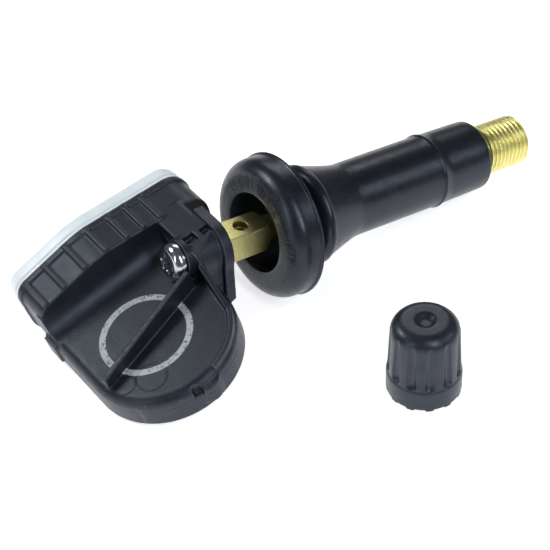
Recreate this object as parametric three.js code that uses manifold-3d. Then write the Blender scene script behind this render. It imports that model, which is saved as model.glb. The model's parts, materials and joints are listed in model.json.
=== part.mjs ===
// Snap-in tire pressure sensor: a moulded sensor housing on a brass and rubber valve stem,
// with the valve's screw cap standing beside it. Millimetres, +Z up.
//
// Three local frames are used:
//   stem frame     +X along the valve towards its threaded tip, origin at the widest flange ring
//   housing frame  +X along the housing, +Y towards the lid, +Z up through its top, with the
//                  origin at the head of the fixing screw, on the stem's axis
//   cap frame      +Z along the cap, origin at its open rim
import * as THREE from 'three';
import { mergeVertices } from 'three/addons/utils/BufferGeometryUtils.js';
import Module from 'manifold-3d';

const wasm = await Module();
wasm.setup();

// ---------------------------------------------------------------- driving dimensions
const GAP = 0.15; // clearance between assembled pieces
const ROUND = 36; // segments around a large turned piece
const FINE = 20; // segments around a small turned piece

const STEM_TO_HOUSING_ANGLE = THREE.MathUtils.degToRad(24.5); // housing rises towards the stem
const HEAD_STATION = -19.2; // fixing screw's head, measured along the stem

// Rubber stem
const FLANGE_R = 10.7;
const FLANGE_FACE = -4.4; // station of the face that the brass bar leaves
const FLANGE_ROUND = 2.6; // rounding of the flange's outer edge
const FLANGE_POCKET_R = 5.8;
const FLANGE_POCKET_DEPTH = 5.6;
const SHOULDER = 0.4; // station of the face that seats on the wheel rim
const GROOVE_R = 6.0; // sits in a rim hole of 11.5 mm
const GROOVE_LENGTH = 2.7;
const BEAD_R = 7.5;
const BEAD_LENGTH = 1.7;
const CONE_STEP = 0.25; // from the bead down to the cone
const CONE_LENGTH = 6.6;
const CONE_SWEEP = 1.2; // 1 for a straight cone, more for a hollow one
const NECK_R = 5.5;
const RUBBER_END = 36.1;
const RUBBER_END_R = 5.35;
const RUBBER_END_EDGE = 0.5;
const RIDGE_STATION = RUBBER_END - 9.2;
const RIDGE_HEIGHT = 0.22;
const RIDGE_HALF_WIDTH = 0.35;

// Brass stem
const BAR_SIDE = 4.3;
const BAR_START = -14.0;
const BAR_END = -2.9; // end of the square stretch, inside the flange's pocket
const BAR_CHAMFER = 0.5;
const BAR_NECK_R = 1.9;
const BAR_BORE_R = 1.35;
const BAR_BORE_DEPTH = 5;
const CROSS_HOLE_R = 0.75;
const CROSS_HOLE_SEAT_R = 1.08;
const CROSS_HOLE_SEAT_DEPTH = 1.1;
const CROSS_HOLE_STATION = -6.9;
const AIRWAY_R = 0.9;
const SHANK_R = 3.1; // round stretch inside the rubber
const THREAD_R = 3.86; // 8V1 valve thread
const THREAD_DEPTH = 0.42;
const THREAD_PITCH = 0.794;
const THREAD_RUNOUT = 0.6; // plain stretch between the rubber and the thread
const TIP_CHAMFER = 0.7;
const TIP_PROUD = 9.3; // brass that stands out of the rubber
const TIP_STATION = RUBBER_END + TIP_PROUD;
const THREAD_TURNS = Math.floor((TIP_PROUD - TIP_CHAMFER - THREAD_RUNOUT) / THREAD_PITCH);
const CORE_CHAMBER_R = 2.6;

// Fixing screw
const HEAD_HEIGHT = 1.6;
const HEAD_SOCKET_R = 1.25;
const HEAD_SOCKET_DEPTH = 1.0;
const SCREW_R = 1.2;
const SCREW_LENGTH = 8;

// Valve core
const BARREL_R = 2.35;
const BARREL_NECK_R = 1.6;
const BARREL_LENGTH = 14.4;
const BARREL_END = TIP_STATION - 1.8;
const BARREL_START = BARREL_END - BARREL_LENGTH;
const BARREL_NECK_LENGTH = 4.6;
const SPRING_CHAMBER_R = 1.3;
const SPRING_CHAMBER_START = BARREL_START + 5.4;
const PIN_R = 0.5;
const PIN_CLEARANCE = 0.06;
const PIN_END = TIP_STATION - 1;
const PIN_HEAD_PROUD = 0.5;
const PIN_HEAD_LENGTH = 0.8;
const PIN_COLLAR_R = 1.1;
const PIN_COLLAR_STATION = BARREL_END - 3.4;
const PIN_COLLAR_LENGTH = 0.8;
const PIN_TRAVEL = 1.3;
const CUP_R = 1.5;
const CUP_LENGTH = 1.4;
const CUP_END = BARREL_START - GAP / 2;
const PIN_HEAD_END = CUP_END - CUP_LENGTH - GAP;
const PIN_HEAD_START = PIN_HEAD_END - PIN_HEAD_LENGTH;
const CORE_CHAMBER_START = PIN_HEAD_START - PIN_TRAVEL - GAP;
const GASKET_LENGTH = 1.6;
const SPRING_WIRE_R = 0.14;
const SPRING_TURNS = 6;

// Battery
const CELL_R = 10;
const CELL_THICKNESS = 3.2;
const TAB_THICKNESS = 0.15;
const TAB_WIDTH = 4;

// Housing
const WALL = 1.2;
const FLOOR = -3.25; // top of the thin round end
const SKIN = 0.525; // wall over and under the battery
const CELL_STACK = CELL_THICKNESS + 2 * TAB_THICKNESS + 4 * GAP;
const BOTTOM = FLOOR - CELL_STACK - 2 * SKIN; // underside
const ROUND_END_R = CELL_R + 1.1;
const ROUND_END_RIGHT = 3.7;
const ROUND_END_X = ROUND_END_RIGHT - ROUND_END_R;
const ROUND_END_Y = -6.4;
const ROUND_END_EDGE = 1.5; // rounding of the thin end's top edge
const BOTTOM_EDGE = 0.4;
const BLOCK_LEFT = ROUND_END_X - ROUND_END_R + 0.5;
const BLOCK_RIGHT = 10.9;
const BLOCK_FRONT = 6.2; // wall that drops to the thin end
const BLOCK_RIM = 12.4; // open rim under the lid
const KINK_X = -6.3;
const KINK_Z = 2.9;
const TOP_SLOPE_LEFT = 0.155;
const TOP_SLOPE_RIGHT = -0.15;
const KINK_ROUND = 14;
const UPPER_LEFT_ROUND = 2.2;
const UPPER_RIGHT_ROUND = 3.4;
const LOWER_LEFT_ROUND = 2.6;
const LOWER_RIGHT_ROUND = 5.2;
const WALL_FILLET = 3.2;
const RIM_LIP = 0.3;
const RIM_LIP_DEPTH = 1.0;
const GRIP_RIB_PLACES = [-16.3, -12.8, -8.9, -5.15, -1.6, 1.2, 3.9];
const GRIP_RIB_WIDTH = 0.7;
const GRIP_RIB_HEIGHT = 0.4;
const BOSS_LEFT = 3.2;
const BOSS_TOP = 1.15;
const BOSS_POCKETS = [[3.75, 5.5, -0.75, 0.95], [6.3, 7.8, -0.75, 0.55]]; // left, right, front, back
const BOSS_POCKET_DEPTH = 0.85;
const HEAD_R = 2.75;
const SEAT_R = HEAD_R + 0.25; // wall that the screw's head clamps
const PLATE_STATION = -11.0; // outer face of the plate around the brass bar
const PLATE_THICKNESS = 1.6;
const PLATE_R = 4.7;
const PLATE_BACK = 3.8;
const PLATE_FOOT = 6.1; // half its width at the housing's underside
const BOSS_INSET = 0.7;
const GUSSET_THICKNESS = 0.7;
const GUSSET_FAR_HEIGHT = 1.9;
const GUSSET_NEAR_HEIGHT = 3.3;
const EDGE_RIB_HEIGHT = 0.35;
const EDGE_RIB_WIDTH = 0.8;
const EDGE_RIB_FROM = -1.35; // angles around the round end
const EDGE_RIB_TO = -0.3;
const LUG_ANGLE = -1.5;
const LUG_PROUD = 0.8;
const LUG_NOTCH_ANGLE = -1.68; // small notch in the edge beside the lug
const LUG_NOTCH_R = 0.7;
const LUG_NOTCH_DEPTH = 1.9;
const LUG_R = 2.2;
const LUG_HEIGHT = 3.2;
const SIDE_TAB_PROUD = 0.4; // small tab on the far side wall, next to the block
const SIDE_TAB_LENGTH = 2.4;
const PORT_R = 0.6;

// Lid and its seal
const SEAL_THICKNESS = 0.5;
const SEAL_WIDTH = 1.0;
const LID_THICKNESS = 2.0;
const LID_OVERHANG = 0.15;
const LID_EDGE = 0.6;
const LID_PLUG_DEPTH = 0.7;

// Electronics
const BOARD_THICKNESS = 1.0;
const BOARD_SETBACK = 1.9; // from the open rim to the board's lid side
const BOARD_MARGIN = 0.5;

// Cap
const CAP_HEIGHT = 12.4;
const CAP_BORE_R = THREAD_R + 0.2;
const CAP_R = CAP_BORE_R + 1.04;
const CAP_COLLAR_R = CAP_R + 0.15;
const CAP_TOP_R = CAP_R - 0.3;
const CAP_COLLAR_HEIGHT = 3.6;
const CAP_EDGE = 2.0;
const CAP_DIMPLE_R = 1.4;
const CAP_DIMPLE_DEPTH = 0.45;
const CAP_WALL_TOP = 2.6;
const CAP_FLUTES = 12;
const CAP_FLUTE_R = 0.85;
const CAP_FLUTE_DEPTH = 0.5;
const CAP_SEAL_THICKNESS = 0.9;
const CAP_FROM_FLANGE = [2.76, -29.76]; // where it stands, from the flange ring's centre

// ---------------------------------------------------------------- solids from three.js geometry
// A closed geometry as a solid, its faces turned outwards.
function solid(geometry) {
  const plain = geometry.clone();
  plain.deleteAttribute('normal');
  plain.deleteAttribute('uv');
  const merged = mergeVertices(plain, 1e-5);
  const position = merged.attributes.position;
  const corners = [];
  const index = merged.index.array;
  for (let i = 0; i < index.length; i += 3) {
    const [a, b, c] = [index[i], index[i + 1], index[i + 2]];
    if (a !== b && b !== c && c !== a) corners.push(a, b, c);
  }
  if (signedVolume(position, corners) < 0) corners.reverse();
  return new wasm.Manifold(new wasm.Mesh({
    numProp: 3,
    vertProperties: new Float32Array(position.array),
    triVerts: new Uint32Array(corners),
  }));
}

function signedVolume(position, corners) {
  const [a, b, c] = [new THREE.Vector3(), new THREE.Vector3(), new THREE.Vector3()];
  let total = 0;
  for (let i = 0; i < corners.length; i += 3) {
    a.fromBufferAttribute(position, corners[i]);
    b.fromBufferAttribute(position, corners[i + 1]);
    c.fromBufferAttribute(position, corners[i + 2]);
    total += a.dot(b.cross(c));
  }
  return total;
}

function geometryOf(body) {
  const found = body.getMesh();
  const geometry = new THREE.BufferGeometry();
  geometry.setAttribute('position', new THREE.BufferAttribute(found.vertProperties, 3));
  geometry.setIndex(new THREE.BufferAttribute(found.triVerts, 1));
  geometry.computeVertexNormals();
  return geometry;
}

const joined = (...bodies) => bodies.reduce((whole, next) => whole.add(next));
const cut = (body, ...tools) => tools.reduce((whole, tool) => whole.subtract(tool), body);

function mesh(name, body, color, roughness, metalness = 0) {
  const material = new THREE.MeshStandardMaterial({ color, roughness, metalness });
  const piece = new THREE.Mesh(geometryOf(body), material);
  piece.name = name;
  return piece;
}

// A turned solid along +X, from [station, radius] points in order. The outline starts and ends on
// the axis, or closes on itself when `hollow` is true.
function turned(points, segments, hollow = false) {
  const outline = points.map(([station, radius]) => new THREE.Vector2(radius, station));
  if (hollow) outline.push(outline[0].clone());
  return solid(new THREE.LatheGeometry(outline, segments).rotateZ(-Math.PI / 2));
}

const rod = (from, to, radius, segments = FINE) =>
  turned([[from, 0], [from, radius], [to, radius], [to, 0]], segments);

const ring = (from, to, inner, outer, segments = FINE) =>
  turned([[from, inner], [from, outer], [to, outer], [to, inner]], segments, true);

// A box from its lowest and highest corners.
function block(low, high) {
  const size = high.map((value, i) => value - low[i]);
  const middle = high.map((value, i) => (value + low[i]) / 2);
  return solid(new THREE.BoxGeometry(...size).translate(...middle));
}

// A closed outline with rounded corners, from [u, v, radius] corners in order.
function outline(corners, stepsPerCorner = 5) {
  const shape = [];
  corners.forEach(([u, v, radius = 0], i) => {
    const here = new THREE.Vector2(u, v);
    if (radius === 0) {
      shape.push(here);
      return;
    }
    const before = corners[(i + corners.length - 1) % corners.length];
    const after = corners[(i + 1) % corners.length];
    const back = new THREE.Vector2(before[0], before[1]).sub(here).normalize();
    const on = new THREE.Vector2(after[0], after[1]).sub(here).normalize();
    const halfAngle = Math.acos(THREE.MathUtils.clamp(back.dot(on), -1, 1)) / 2;
    const centre = back.clone().add(on).normalize();
    centre.multiplyScalar(radius / Math.sin(halfAngle)).add(here);
    const reach = radius / Math.tan(halfAngle);
    const from = here.clone().addScaledVector(back, reach).sub(centre);
    const to = here.clone().addScaledVector(on, reach).sub(centre);
    const turn = Math.atan2(from.cross(to), from.dot(to));
    for (let step = 0; step <= stepsPerCorner; step += 1) {
      const spot = from.clone().rotateAround(new THREE.Vector2(), (turn * step) / stepsPerCorner);
      shape.push(spot.add(centre));
    }
  });
  return new THREE.Shape(shape);
}

const extruded = (shape, depth, bevel = {}) =>
  new THREE.ExtrudeGeometry(shape, { depth, bevelEnabled: false, curveSegments: 18, ...bevel });

// An (x, z) outline, extruded along +Y from `front` to `back`, with an optional rounded edge.
function alongY(shape, front, back, edge = 0) {
  const bevel = edge > 0 ? {
    bevelEnabled: true, bevelThickness: edge, bevelSize: edge, bevelOffset: -edge, bevelSegments: 2,
  } : {};
  const geometry = extruded(shape, back - front - 2 * edge, bevel);
  return solid(geometry.rotateX(Math.PI / 2).translate(0, back - edge, 0));
}

// A (y, z) outline, extruded along +X from `left` to `right`.
function alongX(shape, left, right) {
  const turnedShape = extruded(shape, right - left).rotateY(Math.PI / 2).rotateX(Math.PI / 2);
  return solid(turnedShape.translate(left, 0, 0));
}

// An (x, y) outline, extruded along +Z from `low` to `high`, with an optional rounded edge.
function alongZ(shape, low, high, edge = 0) {
  const bevel = edge > 0 ? {
    bevelEnabled: true, bevelThickness: edge, bevelSize: edge, bevelOffset: -edge, bevelSegments: 3,
  } : {};
  return solid(extruded(shape, high - low - 2 * edge, bevel).translate(0, 0, low + edge));
}

// From the stem frame's stations to the housing frame.
const inHousingFrame = (body) => body
  .translate([-HEAD_STATION, 0, 0])
  .rotate([0, THREE.MathUtils.radToDeg(STEM_TO_HOUSING_ANGLE), 0]);

// ---------------------------------------------------------------- housing outlines
const topAt = (x) => KINK_Z + (x - KINK_X) * (x < KINK_X ? TOP_SLOPE_LEFT : TOP_SLOPE_RIGHT);

// Section of the block in (x, z), grown outwards by `grow`.
function blockOutline(grow) {
  const left = BLOCK_LEFT - grow;
  const right = BLOCK_RIGHT + grow;
  return outline([
    [left, BOTTOM - Math.min(grow, 0), LOWER_LEFT_ROUND + grow],
    [right, BOTTOM - Math.min(grow, 0), LOWER_RIGHT_ROUND + grow],
    [right, topAt(right) + grow, UPPER_RIGHT_ROUND + grow],
    [KINK_X, KINK_Z + grow, KINK_ROUND],
    [left, topAt(left) + grow, UPPER_LEFT_ROUND + grow],
  ]);
}

// Plan of the thin round end in (x, y), grown outwards by `grow`, reaching back to `back`.
function roundEndOutline(grow, back) {
  const radius = ROUND_END_R + grow;
  const shape = new THREE.Shape();
  shape.moveTo(ROUND_END_X + radius, back);
  shape.lineTo(ROUND_END_X - radius, back);
  shape.lineTo(ROUND_END_X - radius, ROUND_END_Y);
  shape.absarc(ROUND_END_X, ROUND_END_Y, radius, Math.PI, 2 * Math.PI, false);
  return shape;
}

// Section of the boss around the brass bar, in (y, z) of the stem frame, drawn in by `inset`.
const bossOutline = (inset, back) => outline([
  [back, -2 * PLATE_FOOT],
  [back, PLATE_R - inset],
  [-PLATE_R + inset, PLATE_R - inset, PLATE_R - inset - 0.3],
  [-PLATE_R + inset, -0.5, 4],
  [-PLATE_FOOT + inset, -6.5],
  [-PLATE_FOOT + inset, -2 * PLATE_FOOT],
]);

// ---------------------------------------------------------------- housing and lid
// A thin upright rib between two plan points, with its own top height at each.
function uprightRib(from, to, fromTop, toTop, thickness) {
  const length = Math.hypot(to[0] - from[0], to[1] - from[1]);
  const heading = Math.atan2(to[1] - from[1], to[0] - from[0]);
  const side = new THREE.Shape([
    new THREE.Vector2(0, FLOOR - WALL / 2),
    new THREE.Vector2(length, FLOOR - WALL / 2),
    new THREE.Vector2(length, toTop),
    new THREE.Vector2(0, fromTop),
  ]);
  const geometry = extruded(side, thickness).rotateX(Math.PI / 2).translate(0, thickness / 2, 0);
  return solid(geometry.rotateZ(heading).translate(from[0], from[1], 0));
}

function roundEnd() {
  const bulk = alongZ(roundEndOutline(0, BLOCK_FRONT + WALL), BOTTOM, FLOOR, ROUND_END_EDGE);
  const middle = (BOTTOM + FLOOR) / 2;
  const foot = alongZ(roundEndOutline(0, BLOCK_FRONT + WALL), BOTTOM, middle, BOTTOM_EDGE);
  return joined(bulk, foot);
}

// Concave sweep from the thin end's top up to the block's wall.
function wallFillet() {
  const corner = new THREE.Shape();
  corner.moveTo(BLOCK_FRONT + WALL, FLOOR - WALL / 2);
  corner.lineTo(BLOCK_FRONT + WALL, FLOOR + WALL_FILLET);
  corner.lineTo(BLOCK_FRONT, FLOOR + WALL_FILLET);
  corner.absarc(BLOCK_FRONT - WALL_FILLET, FLOOR + WALL_FILLET, WALL_FILLET, 0, -Math.PI / 2, true);
  corner.lineTo(BLOCK_FRONT - WALL_FILLET, FLOOR - WALL / 2);
  const side = ROUND_END_R - BOTTOM_EDGE;
  return alongX(corner, ROUND_END_X - side, ROUND_END_X + side);
}

function gripRib(x) {
  const half = GRIP_RIB_WIDTH / 2;
  const top = topAt(x) + GRIP_RIB_HEIGHT;
  return block([x - half, BLOCK_FRONT + GAP, top - 2], [x + half, BLOCK_RIM - GAP, top]);
}

// Boss that holds the brass bar: a wall under the screw's head, a box level with the block's top,
// and a plate square to the stem.
function boss() {
  const back = BLOCK_FRONT + WALL;
  const plateStart = PLATE_STATION - PLATE_THICKNESS;
  const box = inHousingFrame(alongX(bossOutline(BOSS_INSET, back), HEAD_STATION, plateStart + GAP));
  const plate = inHousingFrame(alongX(bossOutline(0, PLATE_BACK), plateStart, PLATE_STATION));
  const low = [BOSS_LEFT, -2 * PLATE_FOOT, BOTTOM + GAP];
  const levelBox = box.intersect(block(low, [BLOCK_RIGHT, back, BOSS_TOP]));
  const levelPlate = plate.intersect(block([0, low[1], low[2]], [BLOCK_RIGHT, back, 2 * PLATE_R]));
  const seat = inHousingFrame(rod(HEAD_STATION + HEAD_HEIGHT + GAP, BAR_START + 2, SEAT_R));
  return joined(levelBox, levelPlate, seat);
}

function housingShell() {
  const rightEdge = ROUND_END_X + ROUND_END_R;
  const outside = joined(
    alongY(blockOutline(0), BLOCK_FRONT, BLOCK_RIM),
    alongY(blockOutline(RIM_LIP), BLOCK_RIM - RIM_LIP_DEPTH, BLOCK_RIM),
    roundEnd(),
    wallFillet(),
    boss(),
    ...GRIP_RIB_PLACES.map(gripRib),
    uprightRib([ROUND_END_X - ROUND_END_R + WALL, ROUND_END_Y - 1.8], [BOSS_LEFT - 2, -3.2],
      FLOOR + GUSSET_FAR_HEIGHT, FLOOR + GUSSET_NEAR_HEIGHT, GUSSET_THICKNESS),
    uprightRib([rightEdge - 1.5, ROUND_END_Y - 4], [BOSS_LEFT, -PLATE_R + 1],
      FLOOR + EDGE_RIB_HEIGHT, FLOOR + GUSSET_NEAR_HEIGHT, GUSSET_THICKNESS),
    edgeRib(),
    snapLug(),
    block([ROUND_END_X - ROUND_END_R - SIDE_TAB_PROUD, BLOCK_FRONT - SIDE_TAB_LENGTH, BOTTOM + 1],
      [ROUND_END_X - ROUND_END_R + 0.5, BLOCK_FRONT + WALL / 2, FLOOR - 0.8]),
  );
  const inside = joined(
    alongY(blockOutline(-WALL), BLOCK_FRONT + WALL, BLOCK_RIM + 1),
    cellPocket(),
  );
  return cut(
    outside,
    inside,
    headRecess(),
    screwPassage(),
    barPassage(),
    ...bossPockets(),
    lugNotch(),
    alongZ(circle(portPlace[0], portPlace[1], PORT_R), BOTTOM - 1, BOTTOM + WALL + 1),
  );
}

// Low rim along the right side of the round end.
function edgeRib() {
  const shape = new THREE.Shape();
  const outer = ROUND_END_R - 0.3;
  const inner = outer - EDGE_RIB_WIDTH;
  shape.absarc(ROUND_END_X, ROUND_END_Y, outer, EDGE_RIB_FROM, EDGE_RIB_TO, false);
  shape.absarc(ROUND_END_X, ROUND_END_Y, inner, EDGE_RIB_TO, EDGE_RIB_FROM, true);
  return alongZ(shape, FLOOR - WALL, FLOOR + EDGE_RIB_HEIGHT);
}

const aroundEnd = (reach, angle) => [
  ROUND_END_X + reach * Math.cos(angle),
  ROUND_END_Y + reach * Math.sin(angle),
];

// Small rounded lug on the round end's side wall.
function snapLug() {
  const [x, y] = aroundEnd(ROUND_END_R - LUG_R + LUG_PROUD, LUG_ANGLE);
  const middle = (BOTTOM + FLOOR) / 2;
  return alongZ(circle(x, y, LUG_R), middle - LUG_HEIGHT / 2, middle + LUG_HEIGHT / 2, 0.5);
}

function lugNotch() {
  const [x, y] = aroundEnd(ROUND_END_R, LUG_NOTCH_ANGLE);
  return alongZ(circle(x, y, LUG_NOTCH_R), FLOOR - LUG_NOTCH_DEPTH, FLOOR + 1);
}

function circle(x, y, radius) {
  const shape = new THREE.Shape();
  shape.absarc(x, y, radius, 0, 2 * Math.PI, false);
  return shape;
}

// Stack in the thin end, from its underside: wall, tab, cell, tab, wall.
const LOWER_TAB_Z = BOTTOM + SKIN + GAP;
const CELL_Z = LOWER_TAB_Z + TAB_THICKNESS + GAP;
const UPPER_TAB_Z = CELL_Z + CELL_THICKNESS + GAP;

const cellPocket = () => alongZ(
  roundEndOutline(CELL_R + GAP - ROUND_END_R, boardFront),
  BOTTOM + SKIN,
  FLOOR - SKIN,
);

// Room for the screw's head, and for the driver that reaches it along the stem's axis.
const headRecess = () => inHousingFrame(
  rod(HEAD_STATION - 2 * HEAD_R, HEAD_STATION + HEAD_HEIGHT + GAP, HEAD_R + GAP, FINE + 4),
);

const screwPassage = () => inHousingFrame(rod(HEAD_STATION - 1, BAR_START + 1, SCREW_R + GAP));

function barPassage() {
  const half = BAR_SIDE / 2 + GAP;
  return inHousingFrame(block([BAR_START - GAP, -half, -half], [BAR_START + 12, half, half]));
}

// Two moulding pockets in the boss's top, beside the plate.
const bossPockets = () => BOSS_POCKETS.map(([left, right, front, back]) =>
  block([left, front, BOSS_TOP - BOSS_POCKET_DEPTH], [right, back, BOSS_TOP + 1]));

const seatStart = BLOCK_RIM + GAP;
const lidStart = seatStart + SEAL_THICKNESS + GAP;
const lidEnd = lidStart + LID_THICKNESS;

function housingLid() {
  const plate = alongY(blockOutline(LID_OVERHANG), lidStart, lidEnd, LID_EDGE);
  const plugInset = -(WALL + GAP);
  const plug = alongY(blockOutline(plugInset), BLOCK_RIM - LID_PLUG_DEPTH, lidStart + LID_THICKNESS / 2);
  return joined(plate, plug);
}

function lidSeal() {
  const outer = alongY(blockOutline(0.1), seatStart, seatStart + SEAL_THICKNESS);
  const inner = alongY(blockOutline(0.1 - SEAL_WIDTH), seatStart - 1, seatStart + SEAL_THICKNESS + 1);
  return cut(outer, inner);
}

// ---------------------------------------------------------------- battery and electronics
const boardBack = BLOCK_RIM - BOARD_SETBACK; // the board's lid side
const boardFront = boardBack - BOARD_THICKNESS;
const boardLeft = BLOCK_LEFT + WALL + BOARD_MARGIN;
const boardLow = BOTTOM + WALL + BOARD_MARGIN;
const boardHigh = topAt(BLOCK_RIGHT) - WALL - BOARD_MARGIN;
const boardMiddle = (boardLow + boardHigh) / 2;
const chipStart = boardBack + GAP;
const portPlace = [boardLeft + 3.5, boardFront - GAP - PORT_R - 0.5];

const batteryCell = () => joined(
  alongZ(circle(ROUND_END_X, ROUND_END_Y, CELL_R), CELL_Z, CELL_Z + CELL_THICKNESS * 0.7, 0.3),
  alongZ(circle(ROUND_END_X, ROUND_END_Y, CELL_R - 1), CELL_Z + 1, CELL_Z + CELL_THICKNESS),
);

// Spot-welded strip from the cell to the board, turned up or down beside the board.
function batteryTab(x, z, legEnd) {
  const start = ROUND_END_Y;
  const end = boardFront - GAP;
  const strip = block([x, start, z], [x + TAB_WIDTH, end, z + TAB_THICKNESS]);
  const low = Math.min(z, legEnd);
  const high = Math.max(z + TAB_THICKNESS, legEnd);
  const leg = block([x, end - TAB_THICKNESS, low], [x + TAB_WIDTH, end, high]);
  return joined(strip, leg);
}

const circuitBoard = () => alongY(blockOutline(-(WALL + BOARD_MARGIN)), boardFront, boardBack);

// A chip on the board's lid side, centred on x.
const chip = (x, width, height, thickness) => block(
  [x - width / 2, chipStart, boardMiddle - height / 2],
  [x + width / 2, chipStart + thickness, boardMiddle + height / 2],
);

const SENSOR_X = -12.6;
const CONTROL_X = -6;
const CRYSTAL_X = -1.2;
const COIL_X = 4.4;
const COIL_LENGTH = 5.4;
const CORE_SIDE = 0.7;
const CHIP_THICKNESS = 0.9;

function pressureChip() {
  const hole = alongY(circle(SENSOR_X, boardMiddle, 0.5), chipStart + 0.3, chipStart + 2);
  return cut(chip(SENSOR_X, 5, 5, CHIP_THICKNESS), hole);
}

const coilDepth = chipStart + CHIP_THICKNESS / 2;

const antennaCore = () => block(
  [COIL_X - COIL_LENGTH / 2 - 0.9, coilDepth - CORE_SIDE / 4, boardMiddle - CORE_SIDE],
  [COIL_X + COIL_LENGTH / 2 + 0.9, coilDepth + CORE_SIDE / 4, boardMiddle + CORE_SIDE],
);

function antennaCoil() {
  const reach = CHIP_THICKNESS / 2;
  const winding = block(
    [COIL_X - COIL_LENGTH / 2, coilDepth - reach, boardMiddle - CORE_SIDE - reach],
    [COIL_X + COIL_LENGTH / 2, coilDepth + reach, boardMiddle + CORE_SIDE + reach],
  );
  const way = block(
    [COIL_X - COIL_LENGTH, coilDepth - CORE_SIDE / 4 - GAP / 2, boardMiddle - CORE_SIDE - GAP / 2],
    [COIL_X + COIL_LENGTH, coilDepth + CORE_SIDE / 4 + GAP / 2, boardMiddle + CORE_SIDE + GAP / 2],
  );
  return cut(winding, way);
}

const portFilter = () => alongZ(
  circle(portPlace[0], portPlace[1], PORT_R + 0.25),
  BOTTOM + WALL + GAP,
  BOTTOM + WALL + GAP + 0.3,
);

// ---------------------------------------------------------------- stem, in the stem frame
function fixingScrew() {
  const seat = HEAD_STATION + HEAD_HEIGHT;
  const profile = [[HEAD_STATION, 0]];
  const steps = 5;
  for (let i = 0; i <= steps; i += 1) {
    const turn = (i / steps) * (Math.PI / 2);
    const inner = HEAD_SOCKET_R + 0.35;
    const drop = (HEAD_HEIGHT - 0.35) * (1 - Math.cos(turn));
    profile.push([HEAD_STATION + drop, inner + (HEAD_R - inner) * Math.sin(turn)]);
  }
  profile.push([seat, HEAD_R], [seat, SCREW_R], [seat + SCREW_LENGTH, SCREW_R], [seat + SCREW_LENGTH, 0]);
  const socket = turned([
    [HEAD_STATION - 1, 0], [HEAD_STATION - 1, HEAD_SOCKET_R],
    [HEAD_STATION + HEAD_SOCKET_DEPTH, HEAD_SOCKET_R], [HEAD_STATION + HEAD_SOCKET_DEPTH, 0],
  ], 6);
  return cut(turned(profile, FINE + 4), socket);
}

function brassStem() {
  const half = BAR_SIDE / 2;
  const shankStart = FLANGE_FACE + FLANGE_POCKET_DEPTH;
  const threadStart = TIP_STATION - TIP_CHAMFER - THREAD_PITCH * THREAD_TURNS;
  const rootR = THREAD_R - THREAD_DEPTH;
  const profile = [[BAR_END - 1, 0], [BAR_END - 1, BAR_NECK_R], [shankStart, BAR_NECK_R]];
  profile.push([shankStart, SHANK_R], [threadStart, SHANK_R]);
  for (let turn = 0; turn < THREAD_TURNS; turn += 1) {
    const start = threadStart + turn * THREAD_PITCH;
    profile.push([start, rootR], [start + THREAD_PITCH / 2, THREAD_R]);
  }
  const threadEnd = threadStart + THREAD_TURNS * THREAD_PITCH;
  profile.push([threadEnd, rootR], [TIP_STATION, rootR - TIP_CHAMFER / 2], [TIP_STATION, 0]);
  const square = block([BAR_START, -half, -half], [BAR_END, half, half]);
  const nose = turned([
    [BAR_START - 1, 0], [BAR_START - 1, 2 * half], [BAR_END - BAR_CHAMFER, half * Math.SQRT2],
    [BAR_END, half * Math.SQRT2 - 2 * BAR_CHAMFER], [BAR_END, 0],
  ], ROUND);
  const bar = square.intersect(nose);
  const hole = (radius, low, high) => alongZ(circle(CROSS_HOLE_STATION, 0, radius), low, high);
  return cut(
    joined(turned(profile, ROUND), bar),
    rod(BAR_START - 1, BAR_START + BAR_BORE_DEPTH, BAR_BORE_R),
    hole(CROSS_HOLE_R, -BAR_SIDE, BAR_SIDE),
    hole(CROSS_HOLE_SEAT_R, half - CROSS_HOLE_SEAT_DEPTH, BAR_SIDE),
    rod(CROSS_HOLE_STATION, CORE_CHAMBER_START + 1, AIRWAY_R),
    rod(CORE_CHAMBER_START, TIP_STATION + 1, CORE_CHAMBER_R),
  );
}

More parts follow.
